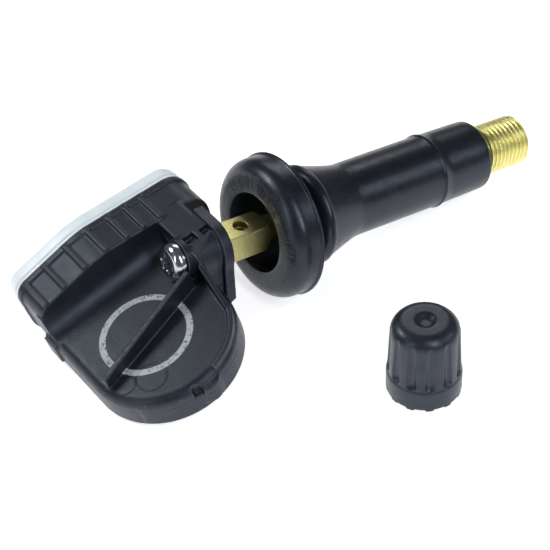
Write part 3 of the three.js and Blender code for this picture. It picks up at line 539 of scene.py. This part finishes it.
def board_laminate():
    n = Nodes("board_laminate")
    where = n.local(HOUSING)
    x, y, z = n.split(where)
    plane = n.add("CombineXYZ", {0: x, 1: z}).outputs[0]
    tracks = n.add("TexBrick", {"Vector": plane, "Scale": 0.9, "Mortar Size": 0.03, "Brick Width": 1.7})
    lines = tracks.outputs["Fac"]
    weave = n.noise(where, 4.0, 3)
    shade = n.blend(n.range(weave, 0.3, 0.7), (0.012, 0.10, 0.04), (0.02, 0.15, 0.06))
    shade = n.blend(n.math("MULTIPLY", lines, 0.8), shade, (0.07, 0.30, 0.13))
    return n.finish(shade, n.range(weave, 0.3, 0.7, 0.3, 0.42), n.bump(lines, 0.00004))


def cell_steel():
    n = Nodes("cell_steel")
    where = n.local(HOUSING)
    brushed = n.noise(n.stretched(where, 0.4, 9, 9), 1.0, 4, 0.6)
    shade = n.blend(n.range(brushed, 0.3, 0.7), (0.56, 0.57, 0.58), (0.70, 0.71, 0.72))
    return n.finish(shade, n.range(brushed, 0.3, 0.7, 0.22, 0.38), n.bump(brushed, 0.00001), Metallic=1.0)


def coil_copper():
    n = Nodes("coil_copper")
    where = n.local(HOUSING)
    x, y, z = n.split(where)
    wires = n.math("SINE", n.math("MULTIPLY", x, 2 * math.pi / 0.22))
    tone = n.range(n.noise(where, 3.0, 3), 0.3, 0.7)
    shade = n.blend(tone, (0.50, 0.20, 0.08), (0.66, 0.31, 0.15))
    return n.finish(shade, 0.3, n.bump(wires, 0.00006), Metallic=1.0)


NYLON = nylon()
LID_PLASTIC = lid_plastic()
RUBBER = rubber()
BRASS = brass()
SEAL = surface("seal_bead", HOUSING, (0.80, 0.88, 0.87), (0.88, 0.93, 0.93), 0.3, 5.0, 0.00001)
CHROME = surface("plated_screw", STEM, (0.40, 0.40, 0.44), (0.56, 0.56, 0.60), 0.17, 3.0, 0.000006, 1.0, 0.05)
CAP_PLASTIC = surface("cap_plastic", CAP, (0.013, 0.0145, 0.020), (0.022, 0.024, 0.033), 0.33, 6.0, 0.00002,
                      Specular_Tint=COOL)
CORE_BRASS = surface("turned_brass", STEM, (0.62, 0.50, 0.20), (0.76, 0.64, 0.30), 0.24, 6.0, 0.000008, 1.0)
WHITE_GASKET = surface("white_gasket", STEM, (0.74, 0.72, 0.68), (0.84, 0.82, 0.78), 0.4, 4.0, 0.00001)
SOFT_RUBBER = surface("soft_rubber", STEM, (0.012, 0.012, 0.013), (0.022, 0.022, 0.024), 0.5, 5.0, 0.00001)
SPRING = surface("spring_wire", STEM, (0.48, 0.49, 0.52), (0.62, 0.63, 0.65), 0.26, 5.0, 0.000006, 1.0)
CHIP = surface("chip_epoxy", HOUSING, (0.012, 0.012, 0.014), (0.022, 0.022, 0.024), 0.5, 6.0, 0.00001)
CAN = surface("crystal_can", HOUSING, (0.56, 0.58, 0.60), (0.68, 0.69, 0.70), 0.24, 5.0, 0.000006, 1.0)
FERRITE = surface("ferrite", HOUSING, (0.045, 0.045, 0.050), (0.075, 0.075, 0.080), 0.6, 4.0, 0.00002)
NICKEL = surface("tab_nickel", HOUSING, (0.54, 0.54, 0.52), (0.66, 0.66, 0.63), 0.3, 5.0, 0.000008, 1.0)
FILTER = surface("filter_membrane", HOUSING, (0.78, 0.78, 0.75), (0.88, 0.88, 0.85), 0.75, 6.0, 0.00002)

# ------------------------------------------------------------------ housing
WALL, FLOOR, BOTTOM = 1.2, THIN_TOP, -8.4
ROUND_R, ROUND_X, ROUND_Y, ROUND_EDGE = 11.1, -7.4, -6.4, 1.5
BLOCK_LEFT, BLOCK_RIGHT, BLOCK_FRONT, BLOCK_RIM = -18.0, 10.9, 6.2, 12.4
KINK_X, KINK_Z, SLOPE_LEFT, SLOPE_RIGHT = -6.3, 2.9, 0.155, -0.15
RIM_LIP, RIM_LIP_DEPTH = 0.3, 1.0
GRIP_RIBS = (-16.3, -12.8, -8.9, -5.15, -1.6, 1.2, 3.9)
RIB_WIDTH, RIB_HEIGHT = 0.7, 0.4
SWEEP, FOOT_EDGE = 3.2, 0.4
GUSSET, GUSSET_FAR, GUSSET_NEAR = 0.75, 1.9, 3.3
EDGE_RIB_HEIGHT = 0.35
LUG_ANGLE, LUG_R, NOTCH_ANGLE, NOTCH_R = -1.5, 2.2, -1.68, 0.75
CELL_ROOM_R, CELL_SKIN, HEAD_ROOM_R, SCREW_ROOM_R, SEAT_R = 10.15, 0.52, 2.9, 1.35, 3.0
SEAT_STATION = -17.45
POCKETS = ((3.75, 5.5, -0.75, 0.95), (6.3, 7.8, -0.75, 0.55))  # left, right, front, back
POCKET_FLOOR = 0.2
PORT, PORT_R = (-12.8, 8.59), 0.6
BOSS_LEFT, BOSS_TOP = 3.2, 1.15
PLATE_STATION, PLATE_THICKNESS, PLATE_R, PLATE_FOOT, PLATE_BACK = -11.0, 1.6, 4.7, 6.1, 3.8
BAR_START, BAR_END, BAR_SIDE = -14.0, -2.9, 4.3
GAP = 0.15


def top_at(x):
    return KINK_Z + (x - KINK_X) * (SLOPE_LEFT if x < KINK_X else SLOPE_RIGHT)


def block_outline(grow, steps=10):
    left, right = BLOCK_LEFT - grow, BLOCK_RIGHT + grow
    low = BOTTOM - min(grow, 0)
    return outline([
        (left, low, 2.6 + grow),
        (right, low, 5.2 + grow),
        (right, top_at(right) + grow, 3.4 + grow),
        (KINK_X, KINK_Z + grow, 14),
        (left, top_at(left) + grow, 2.2 + grow),
    ], steps)


def round_outline(grow, back, steps=72):
    radius = ROUND_R + grow
    points = [Vector((ROUND_X + radius, back)), Vector((ROUND_X - radius, back))]
    for i in range(steps + 1):
        turn = math.pi + math.pi * i / steps
        points.append(Vector((ROUND_X + radius * math.cos(turn), ROUND_Y + radius * math.sin(turn))))
    return points


def boss_outline(drawn_in, back):
    side = -PLATE_R + drawn_in
    foot = -PLATE_FOOT + drawn_in
    return outline([
        (back, -2 * PLATE_FOOT),
        (back, PLATE_R - drawn_in),
        (side, PLATE_R - drawn_in, PLATE_R - drawn_in - 0.3),
        (side, -0.5, 4),
        (foot, -6.5),
        (foot, -2 * PLATE_FOOT),
    ], 12)


def upright_rib(start, end, start_top, end_top, thickness):
    length = math.dist(start, end)
    side = [(0, FLOOR - WALL / 2), (length, FLOOR - WALL / 2), (length, end_top), (0, start_top)]
    rib = prism(side, along_y, -thickness / 2, thickness / 2)
    heading = math.atan2(end[1] - start[1], end[0] - start[0])
    return turned_by(rib, Matrix.Translation((*start, 0)) @ Matrix.Rotation(heading, 4, "Z"))


def sweep_fillet():
    corner = [(BLOCK_FRONT + WALL, FLOOR - WALL / 2), (BLOCK_FRONT + WALL, FLOOR + SWEEP)]
    corner.append((BLOCK_FRONT, FLOOR + SWEEP))
    for i in range(1, 25):
        turn = -math.pi / 2 * i / 24
        corner.append((BLOCK_FRONT - SWEEP + SWEEP * math.cos(turn), FLOOR + SWEEP + SWEEP * math.sin(turn)))
    corner.append((BLOCK_FRONT - SWEEP, FLOOR - WALL / 2))
    side = ROUND_R - FOOT_EDGE
    return prism(corner, along_x, ROUND_X - side, ROUND_X + side)


def arc_band(inner, outer, start, end, low, high, steps=32):
    turns = [start + (end - start) * i / steps for i in range(steps + 1)]
    points = [(ROUND_X + outer * math.cos(t), ROUND_Y + outer * math.sin(t)) for t in turns]
    points += [(ROUND_X + inner * math.cos(t), ROUND_Y + inner * math.sin(t)) for t in reversed(turns)]
    return prism(points, along_z, low, high)


def around_end(reach, angle):
    return ROUND_X + reach * math.cos(angle), ROUND_Y + reach * math.sin(angle)


def rod(start, end, radius, segments):
    return lathe([(start, 0), (start, radius), (end, radius), (end, 0)], segments)


def boss():
    plate_start = PLATE_STATION - PLATE_THICKNESS
    shroud = from_stem(prism(boss_outline(0.7, BLOCK_FRONT + WALL), along_x, HEAD_STATION, plate_start + GAP))
    shroud = common(shroud, box((BOSS_LEFT, -12, BOTTOM + GAP), (BLOCK_RIGHT, BLOCK_FRONT + WALL, BOSS_TOP)))
    plate = from_stem(prism(boss_outline(0, PLATE_BACK), along_x, plate_start, PLATE_STATION))
    plate = common(plate, box((0, -12, BOTTOM + GAP), (BLOCK_RIGHT, BLOCK_FRONT + WALL, 9)))
    seat = from_stem(rod(SEAT_STATION, -12, SEAT_R, 64))
    return [shroud, plate, seat]


def housing_shell():
    middle = (BOTTOM + FLOOR) / 2
    back = BLOCK_FRONT + WALL
    left, right = ROUND_X - ROUND_R, ROUND_X + ROUND_R
    body = prism(block_outline(0), along_y, BLOCK_FRONT, BLOCK_RIM, low_edge=0.15)
    solids = [
        prism(block_outline(RIM_LIP), along_y, BLOCK_RIM - RIM_LIP_DEPTH, BLOCK_RIM),
        prism(round_outline(0, back), along_z, BOTTOM + 1, FLOOR, high_edge=ROUND_EDGE, steps=8),
        prism(round_outline(0, back), along_z, BOTTOM, middle, low_edge=FOOT_EDGE),
        sweep_fillet(),
        *boss(),
        upright_rib((left + WALL, ROUND_Y - 1.8), (BOSS_LEFT - 2, -3.2), FLOOR + GUSSET_FAR, FLOOR + GUSSET_NEAR,
                    GUSSET),
        upright_rib((right - 1.5, ROUND_Y - 4), (BOSS_LEFT, -PLATE_R + 1), FLOOR + EDGE_RIB_HEIGHT,
                    FLOOR + GUSSET_NEAR, GUSSET),
        arc_band(ROUND_R - 1.1, ROUND_R - 0.3, -1.35, -0.3, FLOOR - WALL, FLOOR + EDGE_RIB_HEIGHT),
        prism(circle(*around_end(ROUND_R - 1.4, LUG_ANGLE), LUG_R), along_z, middle - 1.6, middle + 1.6, 0.35, 0.35),
        box((left - 0.4, BLOCK_FRONT - 2.4, BOTTOM + 1), (left + 0.5, BLOCK_FRONT + WALL / 2, FLOOR - 0.8)),
    ]
    for x in GRIP_RIBS:
        top = top_at(x) + RIB_HEIGHT
        half = RIB_WIDTH / 2
        solids.append(box((x - half, BLOCK_FRONT + GAP, top - 2), (x + half, BLOCK_RIM - GAP, top)))
    bar_room = BAR_SIDE / 2 + GAP
    holes = [
        prism(block_outline(-WALL), along_y, back, BLOCK_RIM + 1),
        prism(round_outline(CELL_ROOM_R - ROUND_R, 9.5), along_z, BOTTOM + CELL_SKIN, FLOOR - CELL_SKIN),
        from_stem(rod(-25, SEAT_STATION, HEAD_ROOM_R, 64)),
        from_stem(rod(-20.2, -13, SCREW_ROOM_R, 48)),
        from_stem(box((BAR_START - GAP, -bar_room, -bar_room), (-2, bar_room, bar_room))),
        *(box((low, front, POCKET_FLOOR), (high, rear, 2)) for low, high, front, rear in POCKETS),
        prism(circle(*around_end(ROUND_R, NOTCH_ANGLE), NOTCH_R, 32), along_z, FLOOR - 1.9, FLOOR + 1),
        prism(circle(*PORT, PORT_R, 32), along_z, BOTTOM - 1, BOTTOM + WALL + 1),
    ]
    return moulded(cut(union(body, *solids), *holes), 0.14, 3)


place(housing_shell(), "housing_moulding", HOUSING, "sensor", "housing_shell", "housing_nylon", NYLON)

SEAL_START, SEAL_THICKNESS, SEAL_WIDTH, SEAL_PROUD = BLOCK_RIM + GAP, 0.5, 1.0, 0.1
LID_START = SEAL_START + SEAL_THICKNESS + GAP
LID_END = LID_START + 2.0
LID_OVERHANG, LID_PLUG = 0.15, 0.7


def housing_lid():
    plate = prism(block_outline(LID_OVERHANG, 16), along_y, LID_START, LID_END, low_edge=0.2, high_edge=0.6, steps=6)
    plug = prism(block_outline(-(WALL + GAP)), along_y, BLOCK_RIM - LID_PLUG, LID_START + 1)
    return union(plate, plug)


def lid_seal():
    outer = prism(block_outline(SEAL_PROUD, 16), along_y, SEAL_START, SEAL_START + SEAL_THICKNESS, 0.15, 0.15)
    inner = prism(block_outline(SEAL_PROUD - SEAL_WIDTH), along_y, SEAL_START - 1, SEAL_START + SEAL_THICKNESS + 1)
    return cut(outer, inner)


place(housing_lid(), "lid_cover", HOUSING, "sensor", "housing_lid", "lid_plastic", LID_PLASTIC, 40)
place(lid_seal(), "lid_sealing_bead", HOUSING, "sensor", "lid_seal", "seal_bead", SEAL, 60)


# ------------------------------------------------------------------ rubber stem
def rubber_stem():
    flange_r, face, edge = 10.7, -4.4, 2.6
    cone_start, cone_length, cone_r, neck_r = 4.85, 6.6, 7.25, 5.5
    profile = [(36.1, 3.25), (1.05, 3.25), (1.05, 5.0), (face + 1, 5.8), (face + 0.1, 6.0), (face, 6.25)]
    flat = flange_r - 0.29 - edge
    for i in range(13):
        turn = math.pi / 2 * i / 12
        profile.append((face + edge * (1 - math.cos(turn)), flat + edge * math.sin(turn)))
    for station, drawn_in in [(-0.35, 0.28), (-0.22, 0.1), (-0.05, 0.02), (0.1, 0.05), (0.2, 0.3), (0.4, 0.45)]:
        profile.append((station, flange_r - drawn_in))
    profile += [(0.4, 6.1), (0.5, 6.0), (3.0, 6.0), (3.1, 6.1), (3.2, 6.4), (3.45, 6.85), (3.8, 7.18)]
    profile += [(4.2, 7.38), (4.55, 7.46), (4.75, 7.42), (cone_start, cone_r)]
    for i in range(1, 25):
        share = i / 24
        ease = 1 - (1 - share) ** 1.2
        profile.append((cone_start + cone_length * share, cone_r + (neck_r - cone_r) * ease))
    profile += [(26.5, neck_r), (26.7, 5.54), (26.85, 5.7), (26.95, 5.72), (27.1, 5.6), (27.25, 5.48)]
    profile += [(35.5, 5.35), (35.8, 5.3), (36.0, 5.15), (36.1, 4.9)]
    return lathe(divided(profile, 1.5), 224, hollow=True)


place(rubber_stem(), "rubber_stem_moulding", STEM, "sensor", "rubber_stem", "stem_rubber", RUBBER, 50)

# ------------------------------------------------------------------ brass stem
THREAD_R, THREAD_DEPTH, PITCH, TURNS = 3.86, 0.42, 0.794, 10
TIP, TIP_CHAMFER = 45.4, 0.7
THREAD_END = TIP - TIP_CHAMFER
THREAD_START = THREAD_END - PITCH * TURNS
SHANK_R, NARROW_R = 3.1, 1.9
CORE_ROOM_R, CORE_ROOM_START = 2.6, 25.33


def thread_shape(station, radius, turn):
    """One helical ridge around the shank, which fades out at its ends."""
    if radius < 3.0 or station < THREAD_START - 0.3:
        return station, radius
    phase = ((station - THREAD_START) / PITCH + turn / (2 * math.pi)) % 1
    ridge = min(1, max(0, 1.35 - abs(phase - 0.5) * 3.4))
    fade = min(1, max(0, (station - THREAD_START + 0.3) / PITCH))
    crest = THREAD_R - THREAD_DEPTH * (1 - ridge)
    limit = THREAD_R - max(0, station - THREAD_END) * 1.15 - 0.02
    return station, min(limit, SHANK_R + (crest - SHANK_R) * fade)


def threaded_shank():
    profile = [(BAR_END - 1, 0), (BAR_END - 1, NARROW_R), (1.2, NARROW_R), (1.2, SHANK_R)]
    profile.append((THREAD_START - 0.4, SHANK_R))
    steps = 230
    for i in range(steps + 1):
        profile.append((THREAD_START - 0.4 + (TIP - THREAD_START + 0.4) * i / steps, 3.3))
    profile += [(TIP, 2.9), (TIP - 0.25, CORE_ROOM_R), (CORE_ROOM_START, CORE_ROOM_R), (CORE_ROOM_START, 0)]
    return lathe(profile, 128, shape=thread_shape)


def square_bar():
    half = BAR_SIDE / 2
    corner = 0.12
    corners = [(-half, -half), (half, -half), (half, half), (-half, half)]
    section = outline([(u, v, corner) for u, v in corners], 3)
    bar = prism(section, along_x, BAR_START, BAR_END, low_edge=0.1, high_edge=0.04, steps=2)
    nose = lathe([
        (BAR_START - 1, 0), (BAR_START - 1, 5), (BAR_END - 0.5, half * math.sqrt(2)),
        (BAR_END, half * math.sqrt(2) - 1.0), (BAR_END, 0),
    ], 160)
    station = CROSS_HOLE_STATION
    return cut(
        common(bar, nose),
        rod(BAR_START - 1, BAR_START + 5, SCREW_ROOM_R, 48),
        prism(circle(station, 0, 0.75), along_z, -BAR_SIDE, BAR_SIDE),
        prism(circle(station, 0, 1.08), along_z, half - 1.1, BAR_SIDE),
        rod(station, BAR_END - 0.5, 0.9, 32),
    )


def joined(*pieces):
    with bpy.context.temp_override(active_object=pieces[0], selected_editable_objects=list(pieces)):
        bpy.ops.object.join()
    return pieces[0]


turned_brass = joined(threaded_shank(), moulded(square_bar(), 0.06, 1))
place(turned_brass, "brass_stem_turned", STEM, "sensor", "brass_stem", "stem_brass", BRASS, 35)


# ------------------------------------------------------------------ fixing screw
HEAD_R, HEAD_HEIGHT, LOBE_DEPTH = 2.75, 1.6, 1.0


def six_lobes(station, radius, turn):
    if radius > 1.45 or station > HEAD_STATION + HEAD_HEIGHT:
        return station, radius
    return station, radius * (1 + 0.16 * math.cos(6 * turn))


def fixing_screw():
    inner, screw_r, screw_length = 1.25, 1.2, 8
    lobe_end = HEAD_STATION + LOBE_DEPTH
    profile = [(lobe_end, 0), (lobe_end, inner * 0.6), (lobe_end - 0.05, inner)]
    profile += [(HEAD_STATION + 0.12, inner), (HEAD_STATION + 0.02, inner + 0.1)]
    for i in range(13):
        turn = math.pi / 2 * i / 12
        radius = inner + 0.35 + (HEAD_R - inner - 0.35) * math.sin(turn)
        profile.append((HEAD_STATION + (HEAD_HEIGHT - 0.35) * (1 - math.cos(turn)), radius))
    seat = HEAD_STATION + HEAD_HEIGHT
    profile += [(seat - 0.08, HEAD_R), (seat, HEAD_R - 0.08), (seat, screw_r)]
    profile += [(seat + screw_length, screw_r), (seat + screw_length, 0)]
    return lathe(profile, 144, shape=six_lobes)


place(fixing_screw(), "screw_plated", STEM, "sensor", "fixing_screw", "screw_chrome", CHROME, 35)

# ------------------------------------------------------------------ valve core
PIN_R, PIN_END, PIN_HEAD_R, COLLAR_RING_R, COLLAR_LENGTH = 0.5, 44.4, 1.0, 1.1, 0.8
BARREL_START, BARREL_NECK_END, BARREL_END = 29.2, 33.8, 43.6
BARREL_NECK_R, BARREL_R, CHAMBER_R = 1.6, 2.35, 1.3
CHAMBER_START, COLLAR = 34.6, 40.2
GASKET_START, GASKET_LENGTH = BARREL_START + 1.5, 1.6
CUP_END = BARREL_START - GAP / 2
CUP_START = CUP_END - 1.4
PIN_START, PIN_HEAD_LENGTH = CUP_START - 0.95, 0.8


def core_barrel():
    bore = PIN_R + 0.06
    return lathe(softened([
        (BARREL_START, bore), (BARREL_START, BARREL_NECK_R), (BARREL_NECK_END, BARREL_NECK_R),
        (BARREL_NECK_END, BARREL_R), (BARREL_END, BARREL_R), (BARREL_END, CHAMBER_R),
        (CHAMBER_START, CHAMBER_R), (CHAMBER_START, bore),
    ], 0.12, closed=True), 64, hollow=True)


def soft_ring(start, end, inner, outer, rounding):
    section = [(start, inner), (start, outer), (end, outer), (end, inner)]
    return lathe(softened(section, rounding, 5, True), 64, hollow=True)


def core_pin():
    head_end, collar_end = PIN_START + PIN_HEAD_LENGTH, COLLAR + COLLAR_LENGTH
    return lathe(softened([
        (PIN_START, 0), (PIN_START, PIN_HEAD_R), (head_end, PIN_HEAD_R), (head_end, PIN_R), (COLLAR, PIN_R),
        (COLLAR, COLLAR_RING_R), (collar_end, COLLAR_RING_R), (collar_end, PIN_R), (PIN_END, PIN_R), (PIN_END, 0),
    ], 0.12), 48)


def core_spring():
    wire, turns, around = 0.14, 6, 10
    start, end = CHAMBER_START + GAP + wire, COLLAR - GAP - wire
    radius = (PIN_R + CHAMBER_R) / 2
    steps = turns * 36
    vertices, faces = [], []
    for i in range(steps + 1):
        turn = 2 * math.pi * turns * i / steps
        centre = Vector((start + (end - start) * i / steps, radius * math.cos(turn), radius * math.sin(turn)))
        outward = Vector((0, math.cos(turn), math.sin(turn)))
        for j in range(around):
            side = 2 * math.pi * j / around
            vertices.append(centre + outward * wire * math.cos(side) + Vector((wire * math.sin(side), 0, 0)))
    for i in range(steps):
        for j in range(around):
            k = (j + 1) % around
            faces.append((i * around + j, i * around + k, (i + 1) * around + k, (i + 1) * around + j))
    faces.append(tuple(range(around)))
    faces.append(tuple(reversed(range(steps * around, (steps + 1) * around))))
    return facing_out(add_mesh("spring", vertices, faces))


place(core_barrel(), "valve_core_barrel", STEM, "sensor", "core_barrel", "core_brass", CORE_BRASS, 40)
gasket = soft_ring(GASKET_START, GASKET_START + GASKET_LENGTH, 1.675, 2.525, 0.3)
place(gasket, "valve_core_gasket", STEM, "sensor", "core_gasket", "gasket_ptfe", WHITE_GASKET, 60)
place(core_spring(), "valve_core_spring", STEM, "sensor", "core_spring", "spring_steel", SPRING, 60)
place(core_pin(), "valve_core_pin", STEM, "valve_pin", "core_pin", "core_brass", CORE_BRASS, 40)
cup = soft_ring(CUP_START, CUP_END, 0.575, 1.5, 0.25)
place(cup, "valve_core_cup", STEM, "valve_pin", "core_seat_cup", "cup_rubber", SOFT_RUBBER, 60)

# ------------------------------------------------------------------ cap
CAP_HEIGHT, COLLAR_R, COLLAR_HEIGHT = 12.4, 5.25, 3.6
CAP_R, CAP_TOP_R, CAP_EDGE = 5.1, 4.8, 2.0
FLUTES, FLUTE_R, FLUTE_DEPTH = 12, 0.85, 0.5
CAP_BORE_R, CAP_BORE_TOP = THREAD_R + 0.2, CAP_HEIGHT - 2.6
CAP_FOOT_HEIGHT, CAP_FOOT_RISE, CAP_FOOT_HALF = 0.7, 0.36, 0.45
CAP_DIMPLE_DEPTH = 0.45
UPRIGHT = Matrix.Rotation(-math.pi / 2, 4, "Y")


def cap_shape(height, radius, turn):
    """Flutes up the side, and small feet under the rim."""
    step = 2 * math.pi / FLUTES
    near = (turn + step / 2) % step - step / 2
    if height < CAP_FOOT_HEIGHT and radius > 4.3:
        gap = min(1, max(0, (abs(near) * COLLAR_R - CAP_FOOT_HALF) / 0.2))
        return height + CAP_FOOT_RISE * gap * (1 - height / CAP_FOOT_HEIGHT), radius
    if radius < 3.4 or height < COLLAR_HEIGHT + 0.1:
        return height, radius
    reach = CAP_R + FLUTE_R - FLUTE_DEPTH
    across = reach * math.sin(near)
    rise = min(1, max(0, (height - COLLAR_HEIGHT - 0.1) / 0.4)) ** 0.5
    width = FLUTE_R * rise
    if abs(across) < width:
        radius = min(radius, reach * math.cos(near) - math.sqrt(width ** 2 - across ** 2))
    return height, radius


def cap_shell():
    profile = [(0, CAP_BORE_R + 0.3), (0, COLLAR_R - 0.3), (0.06, COLLAR_R - 0.1), (0.15, COLLAR_R - 0.02)]
    profile += [(height, COLLAR_R) for height in (0.3, 0.45, 0.6, 0.75, COLLAR_HEIGHT - 0.35)]
    profile += [(COLLAR_HEIGHT - 0.15, COLLAR_R - 0.02), (COLLAR_HEIGHT, CAP_R)]
    side_top = CAP_HEIGHT - CAP_EDGE
    for i in range(1, 60):
        share = i / 60
        height = COLLAR_HEIGHT + (side_top - COLLAR_HEIGHT) * share
        profile.append((height, CAP_R + (CAP_TOP_R - CAP_R) * share))
    for i in range(17):
        turn = math.pi / 2 * i / 16
        height = CAP_HEIGHT - CAP_EDGE * (1 - math.sin(turn))
        profile.append((height, CAP_TOP_R - CAP_EDGE * (1 - math.cos(turn))))
    for i in range(1, 13):
        share = i / 12
        dip = CAP_DIMPLE_DEPTH * (0.5 - 0.5 * math.cos(math.pi * min(1, max(0, share - 0.4) / 0.4)))
        profile.append((CAP_HEIGHT - dip, (CAP_TOP_R - CAP_EDGE) * (1 - share)))
    profile += [(CAP_BORE_TOP, 0), (CAP_BORE_TOP, CAP_BORE_R)]
    rings = 60
    for i in range(1, rings):
        height = CAP_BORE_TOP - 1 - (CAP_BORE_TOP - 1.4) * i / rings
        groove = 0.18 * abs(math.sin(math.pi * height / PITCH))
        profile.append((height, CAP_BORE_R + groove))
    profile += [(0.35, CAP_BORE_R + 0.05), (0.1, CAP_BORE_R + 0.2)]
    return turned_by(lathe(profile, 288, hollow=True, shape=cap_shape), UPRIGHT)


def cap_seal():
    end = CAP_BORE_TOP - GAP
    start, radius = end - 0.9, CAP_BORE_R - GAP
    seal = softened([(start, 0), (start, radius), (end, radius), (end, 0)], 0.15, 4)
    return turned_by(lathe(seal, 64), UPRIGHT)


place(cap_shell(), "cap_fluted", CAP, "valve_cap", "cap_shell", "cap_plastic", CAP_PLASTIC, 45)
place(cap_seal(), "cap_seal_disc", CAP, "valve_cap", "cap_seal", "cap_rubber", SOFT_RUBBER, 60)

# ------------------------------------------------------------------ pieces inside the housing
INNER = {
    "port_filter": FILTER,
    "circuit_board": board_laminate(),
    "pressure_sensor_chip": CHIP,
    "control_chip": CHIP,
    "crystal_can": CAN,
    "antenna_core": FERRITE,
    "antenna_coil": coil_copper(),
    "battery_cell": cell_steel(),
    "battery_tab_top": NICKEL,
    "battery_tab_bottom": NICKEL,
}
for node, material in INNER.items():
    piece = frame["nodes"][node]
    piece.data.materials.clear()
    piece.data.materials.append(material)
    rounding = piece.modifiers.new("rounding", "BEVEL")
    rounding.width = 0.00004
    rounding.segments = 2
    rounding.limit_method = "ANGLE"

# ------------------------------------------------------------------ floor, light and camera
FLOOR_SIZE = 3.0


def floor():
    n = Nodes("pale_floor")
    where = n.add("TexCoord").outputs["Object"]
    tone = n.range(n.noise(where, 2.0, 3), 0.3, 0.7)
    shade = n.blend(tone, (0.90, 0.90, 0.905), (0.93, 0.93, 0.935))
    n.put(n.shader.inputs["Emission Color"], (1, 1, 1, 1))
    n.put(n.shader.inputs["Emission Strength"], 0.7)
    material = n.finish(shade, 0.9)
    half = FLOOR_SIZE / 2
    corners = [(-half, -half, 0), (half, -half, 0), (half, half, 0), (-half, half, 0)]
    plane = add_mesh("floor", corners, [(0, 1, 2, 3)])
    plane.location.z = -0.00002
    plane.data.materials.append(material)


def softbox(name, position, target, size, watts, tint=(1, 1, 1)):
    light = bpy.data.lights.new(name, "AREA")
    light.shape = "RECTANGLE"
    light.size, light.size_y = size
    light.energy = watts
    light.color = tint
    lamp = bpy.data.objects.new(name, light)
    bpy.context.scene.collection.objects.link(lamp)
    lamp.location = position
    lamp.rotation_euler = (Vector(target) - Vector(position)).to_track_quat("-Z", "Y").to_euler()


def world():
    sky = bpy.data.worlds.new("studio")
    sky.use_nodes = True
    sky.node_tree.nodes["Background"].inputs["Color"].default_value = (0.93, 0.96, 1.0, 1)
    sky.node_tree.nodes["Background"].inputs["Strength"].default_value = 0.12
    bpy.context.scene.world = sky


floor()
world()
MIDDLE = (0, 0, 0.01)
softbox("back", (0.20, 0.27, 0.27), MIDDLE, (0.22, 0.15), 0.28)
softbox("key", (-0.078, 0.080, 0.105), (-0.03, 0, 0.01), (0.05, 0.045), 0.07)
softbox("fill", (0.35, -0.30, 0.30), MIDDLE, (0.20, 0.20), 0.35, (0.90, 0.94, 1.0))
softbox("left", (-0.45, -0.05, 0.22), MIDDLE, (0.06, 0.30), 0.4, (0.90, 0.94, 1.0))
softbox("strip", (-0.01, -0.26, 0.25), MIDDLE, (0.07, 0.22), 0.5, (0.84, 0.86, 1.0))

# The camera was fitted to the stem's rings and the housing's ribs, in degrees and millimetres.
AZIMUTH, ELEVATION, ROLL = -34.093, 42.244, -2.448
DISTANCE, SHIFT_X, SHIFT_Y = 274.89, -10.525, 4.092
FOCAL_PIXELS, IMAGE_PIXELS = 1900, 550
FITTED_FLANGE = Vector((-4.482, 10.25, 10.598))  # where the flange's centre was when it was fitted


def camera():
    a, e, r = math.radians(AZIMUTH), math.radians(ELEVATION), math.radians(ROLL)
    back = Vector((math.sin(a) * math.cos(e), -math.cos(a) * math.cos(e), math.sin(e)))
    level = Vector((math.cos(a), math.sin(a), 0))
    lift = back.cross(level)
    right = level * math.cos(r) + lift * math.sin(r)
    up = lift * math.cos(r) - level * math.sin(r)
    position = (back * DISTANCE + right * SHIFT_X + up * SHIFT_Y - FITTED_FLANGE) * MM + FLANGE_CENTRE
    lens = bpy.data.cameras.new("camera")
    lens.sensor_width = 36
    lens.lens = FOCAL_PIXELS / IMAGE_PIXELS * lens.sensor_width
    lens.clip_start, lens.clip_end = 0.01, 10
    seen_from = bpy.data.objects.new("camera", lens)
    bpy.context.scene.collection.objects.link(seen_from)
    seen_from.matrix_world = Matrix.Translation(position) @ Matrix((right, up, back)).transposed().to_4x4()
    bpy.context.scene.camera = seen_from


camera()
bpy.context.scene.view_settings.view_transform = "Standard"
